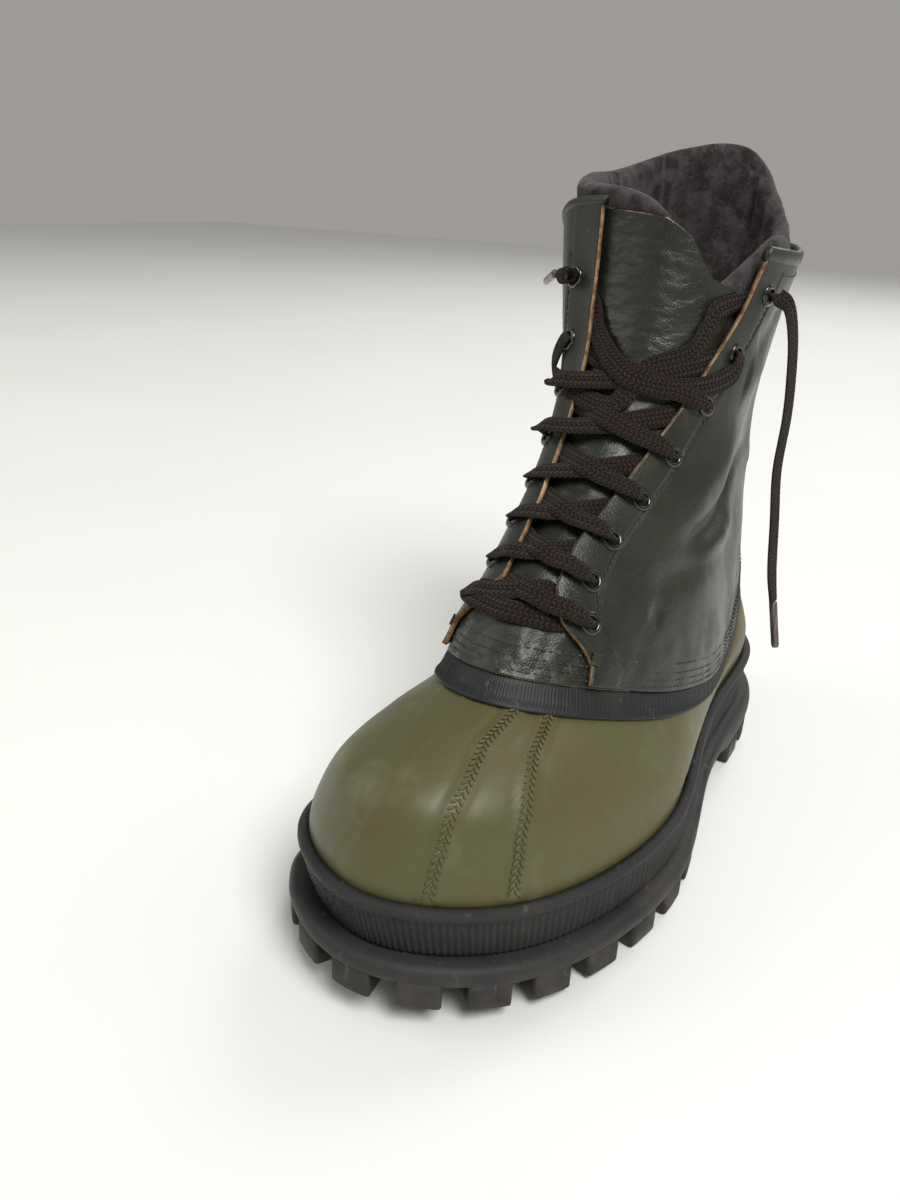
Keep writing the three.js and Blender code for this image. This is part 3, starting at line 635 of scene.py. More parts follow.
def edgeAt(v, side):
    outer, inner = fromTable(throatShares, v, 1), fromTable(throatShares, v, 2)
    return leather["throatGap"] * np.where(np.asarray(side) > 0, outer, inner)


def sideOf(turn):
    return np.where(turn % 1 < 0.5, 1, -1)


# The inner front corner of the collar stands higher than the rest.
def cornerAt(turn):
    return leather["cornerRise"] * smooth((turn % 1 - 0.77) / 0.18)


def liftAt(turn, v):
    gone = np.abs(distanceAt(turn, v))
    near = np.minimum(turn % 1, 1 - turn % 1)
    over = 0.0012 * smooth((7.9 - v) / 0.4)
    rise = (leather["tabLift"] + over) * (1 - smooth((gone - edgeAt(v, sideOf(turn))) / leather["liftReach"]))
    return np.where(near > 0.25, 0, rise)


# Eyelets: a rolled ring on a short barrel, pressed into the leather
eyelet = {"hole": 0.0025, "flange": 0.0047, "rise": 0.0013, "barrel": 0.0016, "around": 28}
eyeletLevels = (6.78, 7.19, 7.56, 7.97, 8.55, 9.35, 10.25, 11.3)


def eyeletSpot(v, side):
    v = np.array([v])
    turn = turnAt(v, side * (edgeAt(v, side) + leather["eyeletInset"]))
    depth = float(0.0025 + liftAt(turn % 1, v)[0])
    return {"turn": float(turn[0]), "v": float(v[0]), "depth": depth, "side": side}


spots = {side: [eyeletSpot(v, side) for v in eyeletLevels] for side in (1, -1)}


# Lace: one flat woven band, threaded from below through each eyelet, over its own edge and under the other
lace = {
    "width": 0.0088, "thick": 0.0013, "holeWidth": 0.0042, "holeThick": 0.002, "step": 0.0011, "ring": 16,
    "overVamp": 0.0018,
}


def smoothPath(marks, step):
    marks = np.array(marks, float)
    ends = np.concatenate((2 * marks[:1] - marks[1:2], marks, 2 * marks[-1:] - marks[-2:-1]))
    pieces = []
    for i in range(len(marks) - 1):
        t = np.linspace(0, 1, 24, endpoint=False)[:, None]
        weights = curveWeights(t)
        pieces.append(sum(w * ends[i + k] for k, w in enumerate(weights)))
    fine = np.concatenate(pieces + [marks[-1:]])
    gone = np.concatenate(([0], np.cumsum(np.linalg.norm(np.diff(fine[:, :3], axis=0), axis=1))))
    even = np.linspace(0, gone[-1], max(4, int(round(gone[-1] / step))))
    return np.stack([np.interp(even, gone, fine[:, k]) for k in range(fine.shape[1])], 1), even


# A ribbon along rows of (x, y, z, face x, face y, face z, width, thickness), where face is the way it faces.
def ribbonMesh(name, marks):
    path, gone = smoothPath(marks, lace["step"])
    place, face, width, thick = path[:, :3], path[:, 3:6], path[:, 6], path[:, 7]
    ahead = np.gradient(place, axis=0)
    ahead /= np.linalg.norm(ahead, axis=1)[:, None]
    sideways = np.cross(ahead, face)
    sideways /= np.linalg.norm(sideways, axis=1)[:, None]
    outwards = np.cross(sideways, ahead)

    def lay(across, along):
        index = np.round(along * (len(place) - 1)).astype(int)
        angle = 2 * np.pi * across
        wide, high = np.cos(angle), np.sin(angle)
        wide = np.sign(wide) * np.abs(wide) ** 0.55
        high = np.sign(high) * np.abs(high) ** 0.7
        point = place[index] + sideways[index] * (wide * width[index] / 2)[:, None]
        return point + outwards[index] * (high * thick[index] / 2)[:, None]

    def uvOf(across, along):
        return np.stack((along * gone[-1], 0.5 + 0.5 * np.cos(2 * np.pi * across)), 1)

    return closeEnds(gridMesh(name, lace["ring"], len(place) - 1, lay, uvOf))


# One mark of a strap: a distance round from the front, a level and a depth, and how wide the lace is there.
def laceMark(distance, v, depth, course, narrow=0.0):
    turn = float(turnAt(np.array([round(v, 2)]), np.array([distance]))[0])
    point = onLast(turn, v, depth)
    normal = lastNormal(np.array(turn), np.array(v, float))
    face = normal - course * np.dot(normal, course)
    face /= np.linalg.norm(face)
    width = mix(lace["width"], lace["holeWidth"], narrow)
    return (*point, *face, width, mix(lace["thick"], lace["holeThick"], narrow))

# The hanging end of the lace, from the top outer eyelet down the outer side, with its aglet
hanging = {
    "steps": (
        (0, 0, 0), (0.004, 0.004, -0.004), (0.007, 0.007, -0.017), (0.009, 0.008, -0.035), (0.010, 0.008, -0.052),
        (0.010, 0.007, -0.075), (0.013, 0.006, -0.098), (0.016, 0.005, -0.121), (0.019, 0.005, -0.136),
    ),
    "startDepth": 0.00875,
    "width": 0.008,
}
aglet = {"radius": 0.0019, "length": 0.023, "flat": 0.8}


def hangingMarks():
    spot = spots[1][7]
    start = onLast(spot["turn"], spot["v"], hanging["startDepth"])
    normal = lastNormal(np.array(spot["turn"]), np.array(spot["v"]))
    places = [start + np.array(step) for step in hanging["steps"]]
    rows = []
    for i, point in enumerate(places):
        course = places[min(i + 1, len(places) - 1)] - places[max(i - 1, 0)]
        course = course / np.linalg.norm(course)
        face = normal - course * np.dot(normal, course)
        face /= np.linalg.norm(face)
        narrow = 0.6 if i == len(places) - 1 else 0.0
        rows.append((*point, *face, mix(hanging["width"], 0.0042, narrow), mix(lace["thick"], 0.0022, narrow)))
    return rows


def agletMesh(name, start, way):
    tip = bmesh.new()
    profile = ((0.0, 0.85), (0.04, 1.0), (0.3, 1.0), (0.33, 0.93), (0.36, 1.0), (0.94, 0.97), (1.0, 0.8))
    rings = []
    for share, wide in profile:
        made = bmesh.ops.create_circle(tip, segments=20, radius=aglet["radius"] * wide)
        bmesh.ops.scale(tip, vec=(1, aglet["flat"], 1), verts=made["verts"])
        bmesh.ops.translate(tip, vec=(0, 0, share * aglet["length"]), verts=made["verts"])
        rings.append(made["verts"])
    bmesh.ops.bridge_loops(tip, edges=tip.edges[:])
    bmesh.ops.holes_fill(tip, edges=[e for e in tip.edges if e.is_boundary], sides=0)
    bmesh.ops.recalc_face_normals(tip, faces=tip.faces)
    mesh = bpy.data.meshes.new(name)
    tip.to_mesh(mesh)
    tip.free()
    turned = Vector(way).to_track_quat("Z", "X").to_matrix().to_4x4()
    mesh.transform(Matrix.Translation(start) @ turned)
    return mesh


def makeHanging():
    marks = hangingMarks()
    path, gone = smoothPath(marks, 0.004)
    way = path[-1, :3] - path[-2, :3]
    way /= np.linalg.norm(way)
    piece = makePiece("laceEndOuter", ribbonMesh("laceEndOuter", marks), ("lace",), ("lace_end_outer",))
    mesh = agletMesh("agletOuter", path[-1, :3] + way * last["clearance"], way)
    tip = makePiece("agletOuter", mesh, ("aglet",), ("aglet_outer",))
    low, high = (np.array(corner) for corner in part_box("aglet_inner"))
    start, end = np.array((high[0], low[1], high[2])), np.array((low[0], high[1], low[2]))
    away = end - start
    inset = away / np.linalg.norm(away) * 0.0015
    mesh = agletMesh("agletInner", start + inset, away / np.linalg.norm(away))
    makePiece("agletInner", mesh, ("aglet",), ("aglet_inner",))


makeHanging()
print("hanging end made")


# Rubber shell, with two stitched-looking seams down its front and two plain ones on the inner side
shell = {
    "columns": 300,
    "rows": 110,
    "wall": 0.0026,
    "seams": (
        ((0.041, 5.2), (0.036, 4.25), (0.045, 3.42), (0.048, 2.28), (0.045, 1.15)),
        ((0.068, 5.2), (0.074, 4.14), (0.09, 3.04), (0.093, 2.0), (0.092, 1.15)),
    ),
    "seamWidth": 0.0042,
    "seamRise": 0.0005,
    "plainSeams": (
        ((-0.019, 5.2), (-0.010, 4.2), (-0.004, 3.2), (-0.008, 2.0), (-0.019, 1.1)),
        ((-0.057, 5.2), (-0.035, 4.2), (-0.020, 3.2), (-0.018, 2.2), (-0.030, 1.3)),
    ),
    "dashPitch": 0.0026,
    "dash": (0.00165, 0.00062, 0.00055),
}


def layShell(across, along):
    v = mix(levelOf["sole"], levelOf["lap"], along)
    points = onLast(across, v)
    depth = 0.0003 * waves(points, 30) + 0.00012 * waves(points, 90, 3)
    for marks in shell["seams"]:
        away = nearLine(points, marks)
        depth += shell["seamRise"] * smooth((shell["seamWidth"] - away) / 0.0012)
        depth -= 0.0003 * np.exp(-(((away - shell["seamWidth"] - 0.0006) / 0.0009) ** 2))
    for marks in shell["plainSeams"]:
        away = nearLine(points, marks)
        depth += 0.0005 * np.exp(-((away / 0.0016) ** 2))
    return onLast(across, v, depth - 0.0002)


def makeShell():
    mesh = gridMesh("rubberShell", shell["columns"], shell["rows"], layShell, (0.86, 0.1))
    piece = makePiece("rubberShell", mesh, ("green", "green"), ("rubber_shell",))
    thicken(piece, shell["wall"] - 0.0002)

    dashes = []
    for marks in shell["seams"]:
        turn, v = lineOn(marks, 400)
        for side in (-1, 1):
            shifted = turn + side * 0.0018 / 0.86
            depth = shell["seamRise"] + 0.0001
            dashes += stitchRow(shifted, v, depth, shell["dashPitch"], shell["dash"], 0.9 * side)
    makePiece("shellSeams", stampMesh("shellSeams", unitBall(), dashes), ("green",))


makeShell()
print("shell made")

backFrom = 0.9  # share of a band's rows after which they run down its back


# Ribbed band round the foot of the shell, with a bead along its top
soleBand = {"columns": 1150, "rows": 20, "ribs": 250, "rib": 0.00045}


def layBand(across, along):
    profile = (
        (0.0, 0.0003, 0.0), (0.04, 0.0025, 0.0), (0.1, 0.0033, 0.04), (0.5, 0.0034, 0.5), (0.66, 0.0034, 0.78),
        (0.72, 0.0043, 0.83), (0.8, 0.0046, 0.9), (0.88, 0.0040, 0.97), (0.95, 0.0022, 1.0), (1.0, 0.0002, 1.0),
    )
    back = np.clip((along - backFrom) / (1 - backFrom), 0, 1)  # the last rows run down its back to the start
    along = np.minimum(along / backFrom, 1)
    depth = mix(fromTable(profile, along), profile[0][1], back)
    v = mix(fromTable(profile, along, 2), profile[0][2], back)
    ribbed = smooth((along - 0.08) / 0.05) * smooth((0.7 - along) / 0.05)
    phase = across * soleBand["ribs"] + 0.12 * np.sin(across * 90)
    depth += soleBand["rib"] * ribbed * np.cos(2 * np.pi * phase)
    points = onLast(across, v, depth)
    points[:, 2] = np.maximum(points[:, 2], 0.0192 + groundAt(points[:, 1]))
    return points


def makeBand():
    mesh = gridMesh("soleBand", soleBand["columns"], soleBand["rows"], layBand, (0.86, 0.026))
    makePiece("soleBand", closeEnds(mesh), ("ribbed",), ("sole_band",))


makeBand()
print("band made")

# Strip between the shell and the leather, ribbed over the instep
rimStrip = {"columns": 900, "rows": 20, "ribs": 330, "rib": 0.00022}


def layStrip(across, along):
    profile = (
        (0.0, 0.0, 4.99), (0.12, 0.0011, 4.97), (0.25, 0.0017, 5.05), (0.5, 0.0019, 5.5), (0.8, 0.0019, 5.9),
        (0.9, 0.0016, 5.99), (1.0, 0.0, 6.0),
    )
    back = np.clip((along - backFrom) / (1 - backFrom), 0, 1)
    along = np.minimum(along / backFrom, 1)
    depth = mix(fromTable(profile, along), profile[0][1], back)
    v = mix(fromTable(profile, along, 2), profile[0][2], back)
    ribbed = smooth((along - 0.15) / 0.1) * smooth((0.9 - along) / 0.1)
    depth += rimStrip["rib"] * ribbed * np.cos(2 * np.pi * across * rimStrip["ribs"])
    return onLast(across, v, depth)


def makeStrip():
    mesh = gridMesh("rimStrip", rimStrip["columns"], rimStrip["rows"], layStrip, (0.7, 0.014))
    makePiece("rimStrip", closeEnds(mesh), ("black",), ("rim_strip",))


makeStrip()
print("strip made")

# Sole: a plate with a rounded ledge, lugs round its edge and bars across the tread
sole = {
    "columns": 360,
    "ledge": 0.008,
    "lugLength": 0.017,
    "lugGap": 0.009,
    "lugReach": 0.017,
    "lugEdge": 0.0074,
    "lugRound": 0.0015,
    "forefootBack": 0.5,
    "heelFront": 0.66,
    "archRamp": 0.018,
    "bars": (0.13, 0.21, 0.29, 0.37, 0.45, 0.76, 0.85),
    "barReach": 0.42,
    "barWidth": 0.009,
}


def treadRoot(y):
    rampUp = smooth((y - yAt(sole["forefootBack"]) + sole["archRamp"]) / sole["archRamp"])
    rampDown = smooth((yAt(sole["heelFront"]) + sole["archRamp"] - y) / sole["archRamp"])
    return last["lugDepth"] + springAt(y) + last["archLift"] * rampUp * rampDown


def soleEdge(turn, out):
    point = lastPoint(turn, np.ones_like(turn))
    normal = lastNormal(turn, np.ones_like(turn))
    normal[..., 2] = 0
    normal /= np.linalg.norm(normal, axis=-1)[..., None]
    return point + normal * out[..., None] + np.array((last["shiftX"], 0, 0))


# The plate runs from the middle of its top, over the ledge, to the middle of its underside.
def layPlate(across, along):
    profile = (
        (0.0, -1.0, 1.0), (0.16, -0.004, 1.0), (0.24, 0.0036, 1.0), (0.3, 0.0058, 0.93), (0.36, 0.0073, 0.8),
        (0.42, 0.008, 0.62), (0.5, 0.008, 0.4), (0.58, 0.0074, 0.2), (0.66, 0.0062, 0.06), (0.74, 0.0045, 0.0),
        (0.84, -0.006, 0.0), (1.0, -1.0, 0.0),
    )
    shares = [row[0] for row in profile]
    out = np.interp(along, shares, [row[1] for row in profile])
    high = np.interp(along, shares, [row[2] for row in profile])
    inside = np.clip((-out - 0.006) / 0.994, 0, 1)
    ribbed = smooth((along - 0.22) / 0.05) * smooth((0.5 - along) / 0.1)
    front = smooth((0.13 - np.abs(np.where(across > 0.5, across - 1, across))) / 0.04)
    out = np.maximum(out, -0.006) + 0.0002 * ribbed * front * np.cos(2 * np.pi * across * 330)
    point = soleEdge(across, out)
    middle = soleEdge(np.minimum(across, 1 - across), np.full_like(out, -0.006))
    point[:, 0] = mix(point[:, 0], last["shiftX"], inside)
    point[:, 1] = mix(point[:, 1], middle[:, 1], inside)
    top = last["soleTop"] + groundAt(point[:, 1]) - 0.0002
    point[:, 2] = mix(treadRoot(point[:, 1]), top, high)
    return point


def addLug(whole, corners):
    ground = [Vector((x, y, springAt(y))) for x, y in corners]
    base = bmesh.new()
    verts = [base.verts.new(point) for point in ground]
    face = base.faces.new(verts)
    raised = bmesh.ops.extrude_face_region(base, geom=[face])
    for vert in (item for item in raised["geom"] if isinstance(item, bmesh.types.BMVert)):
        vert.co.z = treadRoot(vert.co.y) + 0.0025
    bmesh.ops.recalc_face_normals(base, faces=base.faces)
    low = min(v.co.z for v in base.verts) + 0.004
    edges = [e for e in base.edges if len(e.link_faces) == 2 and e.calc_face_angle() > 0.6]
    edges = [e for e in edges if min(v.co.z for v in e.verts) < low]
    bmesh.ops.bevel(
        base, geom=edges, offset=sole["lugRound"], offset_type="OFFSET", segments=3, profile=0.5,
        affect="EDGES", material=-1, clamp_overlap=True,
    )
    mesh = bpy.data.meshes.new("lug")
    base.to_mesh(mesh)
    base.free()
    whole.from_mesh(mesh)
    bpy.data.meshes.remove(mesh)


def turnAlongEdge(turn, distance):
    samples = turn + np.linspace(0, 0.12, 240) * np.sign(distance)
    path = soleEdge(samples, np.full(240, sole["ledge"]))
    gone = np.concatenate(([0], np.cumsum(np.linalg.norm(np.diff(path, axis=0), axis=1))))
    return float(np.interp(abs(distance), gone, samples))


def edgeLug(whole, first, second, reach):
    steps = np.linspace(first, second, 6)
    outside = soleEdge(steps, np.full(6, sole["lugEdge"]))[:, :2]
    inside = soleEdge(steps[::-1][[0, 5]], np.full(2, sole["lugEdge"] - reach))[:, :2]
    corners = np.concatenate((outside, inside))
    addLug(whole, corners)
    return corners


def lugs(whole):
    toe = turnAlongEdge(0.0, sole["lugLength"] / 2)
    edgeLug(whole, -toe, toe, sole["lugReach"])
    for side in (1, -1):
        turn = turnAlongEdge(0.0, side * (sole["lugLength"] / 2 + sole["lugGap"]))
        while abs(turn) < 0.48:
            end = turnAlongEdge(turn, side * sole["lugLength"])
            end = math.copysign(min(abs(end), 0.5), side)
            ends = soleEdge(np.array((turn, end)), np.full(2, sole["lugEdge"]))
            if all(y < yAt(sole["forefootBack"]) or y > yAt(sole["heelFront"]) for y in ends[:, 1]):
                edgeLug(whole, turn, end, sole["lugReach"])
            turn = turnAlongEdge(turn, side * (sole["lugLength"] + sole["lugGap"]))
    turns = np.linspace(0, 0.5, 400)
    outer, inner = soleEdge(turns, np.zeros(400)), soleEdge(-turns, np.zeros(400))
    for share in sole["bars"]:
        y = yAt(share)
        right = np.interp(y, outer[:, 1], outer[:, 0])
        left = np.interp(y, inner[:, 1], inner[:, 0])
        middle, reach, half = (right + left) / 2, (right - left) / 2 * sole["barReach"], sole["barWidth"] / 2
        low, high = y - half, y + half
        corners = [(middle - reach, low), (middle + reach, low), (middle + reach, high), (middle - reach, high)]
        addLug(whole, corners)


def makeSole():
    mesh = gridMesh("soleBody", sole["columns"], 40, layPlate, (0.86, 0.06))
    makePiece("soleBody", closeEnds(mesh), ("black",), ("outsole",))
    makePiece("soleLugs", joinMeshes("soleLugs", [lugs]), ("black",))


makeSole()
print("sole made")


def throatEdge(v, side):
    levels = np.round(v, 2)
    known = np.unique(levels)
    turns = turnAt(known, side * edgeAt(known, side))
    return np.interp(v, known, turns)


# Folds of the leather: marks along each, how wide it is and how deep, below zero for a ridge.
folds = (
    (((0.33, 8.6), (0.285, 8.35), (0.245, 8.0), (0.214, 7.78), (0.184, 7.63), (0.149, 7.52)), 0.0060, 0.0045),
    (((0.25, 9.1), (0.206, 8.5), (0.176, 8.18), (0.159, 7.89)), 0.0070, -0.0022),
    (((0.26, 7.5), (0.206, 7.4), (0.169, 7.29), (0.131, 7.17)), 0.0060, 0.0018),
    (((0.30, 7.9), (0.26, 7.7), (0.22, 7.58), (0.19, 7.5)), 0.0070, -0.0024),
    (((0.108, 7.5), (0.116, 7.4), (0.124, 7.3)), 0.0060, 0.0010),
    (((0.146, 6.95), (0.154, 6.88), (0.162, 6.8)), 0.0060, 0.0010),
    (((0.13, 7.15), (0.145, 6.9), (0.159, 6.68)), 0.0035, -0.0007),
    (((0.300, 9.9), (0.265, 9.85), (0.230, 9.7), (0.215, 9.75)), 0.0080, -0.0014),
    (((0.215, 10.4), (0.235, 10.5), (0.260, 10.9), (0.285, 11.3)), 0.0060, 0.0010),
    (((0.38, 8.9), (0.42, 8.6), (0.46, 8.55), (0.5, 8.6)), 0.0070, 0.0022),
    (((0.38, 8.1), (0.43, 7.9), (0.5, 7.85)), 0.0080, -0.0018),
    (((0.66, 8.7), (0.71, 8.35), (0.755, 8.0), (0.79, 7.8), (0.83, 7.65)), 0.0065, 0.0038),
    (((0.70, 9.0), (0.74, 8.7), (0.79, 8.4)), 0.0080, -0.0022),
    (((0.78, 9.6), (0.82, 9.5), (0.86, 9.3)), 0.0050, 0.0012),
    (((0.74, 7.5), (0.79, 7.35), (0.86, 7.2)), 0.0060, 0.0014),
    (((0.60, 10.6), (0.66, 10.4), (0.72, 10.5)), 0.0090, 0.0014),
)


def foldDepth(points):
    depth = 0.0007 * waves(points, 16, 5) + 0.0004 * waves(points, 42, 9) + 0.00018 * waves(points, 110, 2)
    for marks, width, deep in folds:
        count = len(marks) * 12
        turn, v = lineOn(marks, count)
        line = onLast(turn, v)
        share = np.linspace(0, 1, count)
        fade = smooth(share / 0.3) * smooth((1 - share) / 0.3)
        for start in range(0, len(points), 4000):
            part = points[start:start + 4000]
            away = ((part[:, None] - line[None]) ** 2).sum(-1)
            nearest = away.argmin(1)
            gone = np.sqrt(away[np.arange(len(part)), nearest])
            depth[start:start + 4000] -= deep * fade[nearest] * np.exp(-((gone / width) ** 2))
    return depth


def quarterDepth(turn, v):
    points = onLast(turn, v)
    depth = foldDepth(points)
    fromEdge = np.abs(distanceAt(turn, v)) - edgeAt(v, sideOf(turn))
    seam = np.abs(fromEdge - leather["eyestay"])
    inFront = np.minimum(turn % 1, 1 - turn % 1) < 0.3
    calm = smooth((v - 6.0) / 0.4) * np.where(inFront, smooth((fromEdge - 0.006) / 0.02) * 0.8 + 0.2, 1)
    depth *= calm * smooth((12.1 + cornerAt(turn) - v) / 0.6)
    groove = np.where(inFront & (v > 6.7) & (v < 11.7), 0.0005 * np.exp(-((seam / 0.0011) ** 2)), 0)
    pad = np.where(inFront, 0.0004 * smooth((leather["eyestay"] - 0.001 - fromEdge) / 0.0015), 0)
    lumps = 0.0004 * waves(points, 130, 7) * smooth((6.9 - v) / 0.3)
    return 0.0025 + liftAt(turn, v) + depth - groove + pad + lumps


def layQuarters(across, along):
    v = mix(levelOf["edge"], levelOf["collar"] - 0.08, along)
    turn = mix(throatEdge(v, 1), 1 + throatEdge(v, -1), across)
    v = mix(levelOf["edge"], levelOf["collar"] - 0.08 + cornerAt(turn), along)
    turn = mix(throatEdge(v, 1), 1 + throatEdge(v, -1), across)
    return onLast(turn, v, quarterDepth(turn, v))


def layVamp(across, along):
    turn = mix(-leather["vampTurn"], leather["vampTurn"], across)
    v = mix(levelOf["edge"] - 0.02, levelOf["vamp"], along)
    points = onLast(turn, v)
    lumps = 0.0006 * waves(points, 120, 4) + 0.0004 * waves(points, 260, 8)
    depth = 0.0024 + lumps * smooth((7.0 - v) / 0.5) + 0.0003 * waves(points, 50)
    return onLast(turn, v, depth)


def makeLeather():
    mesh = gridMesh("leatherQuarters", leather["columns"], leather["rows"], layQuarters, (0.8, 0.2))
    quarters = makePiece("leatherQuarters", mesh, ("leather", "rawEdge"), ("leather_upper",))
    thicken(quarters, leather["wall"])
    mesh = gridMesh("leatherVamp", 160, 60, layVamp, (0.12, 0.05))
    vamp = makePiece("leatherVamp", mesh, ("leather", "rawEdge"))
    thicken(vamp, leather["wall"] - 0.0003)


makeLeather()
print("leather made")


# The rolled edge of the collar
binding = {"middle": 11.9, "half": 0.12, "thick": 0.0021, "columns": 420, "rows": 16}


def layBinding(across, along):
    angle = -2 * np.pi * along
    v = binding["middle"] + binding["half"] * np.sin(angle)
    turn = mix(throatEdge(v, 1), 1 + throatEdge(v, -1), across)
    v = v + cornerAt(turn)
    turn = mix(throatEdge(v, 1) - 0.002, 1 + throatEdge(v, -1) + 0.002, across)
    middle = 0.0014 + liftAt(turn, np.full_like(turn, 11.9))
    points = onLast(turn, v)
    thick = binding["thick"] * (1 + 0.12 * waves(points, 140, 3))
    round2 = np.sign(np.cos(angle)) * np.abs(np.cos(angle)) ** 0.7
    return onLast(turn, v, middle + thick * round2)


def makeBinding():
    mesh = gridMesh("collarBinding", binding["columns"], binding["rows"], layBinding, (0.6, 0.012))
    makePiece("collarBinding", closeEnds(mesh), ("leather",))


makeBinding()
print("binding made")


def levelAbove(turn, rise):
    here, above = onLast(turn, 6.0), onLast(turn, 6.5)
    return 6.0 + 0.5 * rise / np.linalg.norm(above - here, axis=-1)


def makeStitches():
    rows = []
    pitch, size = leather["stitchPitch"], leather["stitch"]
    outerEnd, innerEnd = float(throatEdge(np.array([6.0]), 1)[0]), 1 + float(throatEdge(np.array([6.0]), -1)[0])
    quarter = np.linspace(outerEnd + 0.004, innerEnd - 0.004, 700)
    front = np.linspace(-0.13, 0.13, 260)
    for rise in leather["stitchRows"]:
        v = levelAbove(quarter, rise)
        rows += stitchRow(quarter, v, 0.0025 + liftAt(quarter, v), pitch, size)
        rows += stitchRow(front, levelAbove(front, rise), 0.0024, pitch, size)
    levels = np.linspace(6.4, 11.7, 260)
    for side in (1, -1):
        inset = leather["eyestay"] * smooth((levels - 6.3) / 0.55)
        turn = turnAt(levels, side * (edgeAt(levels, side) + np.maximum(inset, 0.002)))
        rows += stitchRow(turn, levels, 0.0023 + liftAt(turn % 1, levels), pitch, size)
        tabLevels = np.linspace(6.39, 7.0, 60)
        tab = turnAt(tabLevels, side * (edgeAt(tabLevels, side) + 0.003))
        rows += stitchRow(tab, tabLevels, 0.0027 + liftAt(tab % 1, tabLevels), pitch * 0.8, size)
        tack = np.full(14, float(turnAt(np.array([6.38]), side * (edgeAt(6.38, side) + 0.0025))[0]))
        heights = np.linspace(6.31, 6.47, 14)
        rows += stitchRow(tack, heights, 0.0058, 0.0008, (0.0026, 0.0005, 0.0006), 8.0)
    collar = np.linspace(0.19, 0.81, 600)
    rows += stitchRow(collar, 11.62 + cornerAt(collar), 0.0027, pitch, size)
    makePiece("stitches", stampMesh("stitches", unitBall(), rows), ("thread",))


makeStitches()
print("stitches made")

# Tongue, with a step in its top edge
tongue = {"wall": 0.002, "columns": 150, "rows": 190}
tongueInn = ((7, 0.32), (9, 0.36), (10, 0.38), (11, 0.4), (12.2, 0.42))
tongueOut = ((7, 0.32), (9, 0.47), (10, 0.54), (11, 0.58), (12.2, 0.58))
tongueTop = ((0, 12.5), (0.4, 12.3), (0.5, 12.15), (0.6, 11.95), (0.7, 11.65), (0.8, 11.45), (1, 11.3))


def layTongue(across, along):
    top = fromTable(tongueTop, across)
    v = np.round(mix(7.0, top, along), 2)
    known = np.unique(v)
    low = np.interp(v, known, turnAt(known, -fromTable(tongueInn, known) * leather["throatGap"]))
    high = np.interp(v, known, turnAt(known, fromTable(tongueOut, known) * leather["throatGap"]))
    turn = mix(low, high, across)
    v = mix(7.0, top, along)
    points = onLast(turn, v)
    fine = points * np.array((1, 1, 2.6))
    depth = 0.0006 * waves(points, 28, 6) + 0.00035 * waves(fine, 120, 3) + 0.00016 * waves(fine, 330, 1)
    return onLast(turn, v, -0.0004 + depth)


def makeTongue():
    mesh = gridMesh("tongueLeather", tongue["columns"], tongue["rows"], layTongue, (0.09, 0.16))
    piece = makePiece("tongueLeather", mesh, ("leather", "rawEdge"), ("tongue",))
    thicken(piece, tongue["wall"])


makeTongue()
print("tongue made")


def eyeletUnit():
    hole, flange, rise = eyelet["hole"], eyelet["flange"], eyelet["rise"]
    ring = bmesh.new()
    profile = [(hole, -eyelet["barrel"]), (hole, rise * 0.3)]
    steps = [math.pi * (1 - i / 8) for i in range(9)]
    middle, half = (hole + flange) / 2, (flange - hole) / 2
    profile += [(middle + half * math.cos(a), rise * (0.3 + 0.7 * math.sin(a))) for a in steps]
    profile += [(flange, -0.0002), (hole + 0.0008, -0.0003), (hole + 0.0008, -eyelet["barrel"])]
    verts = [ring.verts.new((x, 0, z)) for x, z in profile]
    edges = [ring.edges.new((a, b)) for a, b in zip(verts, verts[1:] + verts[:1])]
    bmesh.ops.spin(
        ring, geom=verts + edges, cent=(0, 0, 0), axis=(0, 0, 1), angle=2 * math.pi, steps=eyelet["around"],
        use_merge=True,
    )
    bmesh.ops.remove_doubles(ring, verts=ring.verts, dist=1e-6)
    bmesh.ops.recalc_face_normals(ring, faces=ring.faces)
    mesh = bpy.data.meshes.new("eyeletUnit")
    ring.to_mesh(mesh)
    ring.free()
    return mesh


def makeEyelets():
    unit = eyeletUnit()
    for side, word in ((1, "outer"), (-1, "inner")):
        for i, spot in enumerate(spots[side]):
            normal = Vector(lastNormal(np.array(spot["turn"]), np.array(spot["v"])))
            at = Vector(onLast(spot["turn"], spot["v"], spot["depth"] + 0.0003))
            mesh = unit.copy()
            mesh.name = f"eyelet{word.title()}{i + 1}"
            mesh.transform(frameAt(at, Vector((0, 0, 1)), normal, (1, 1, 1)))
            makePiece(mesh.name, mesh, ("enamel",), (f"eyelet_{word}_{i + 1}",))


makeEyelets()
print("eyelets made")


# The way from one eyelet to the next, as marks: shares of the way, depths and how far the lace is squeezed.
def spotDistance(spot):
    return spot["side"] * float(edgeAt(spot["v"], spot["side"]) + leather["eyeletInset"])


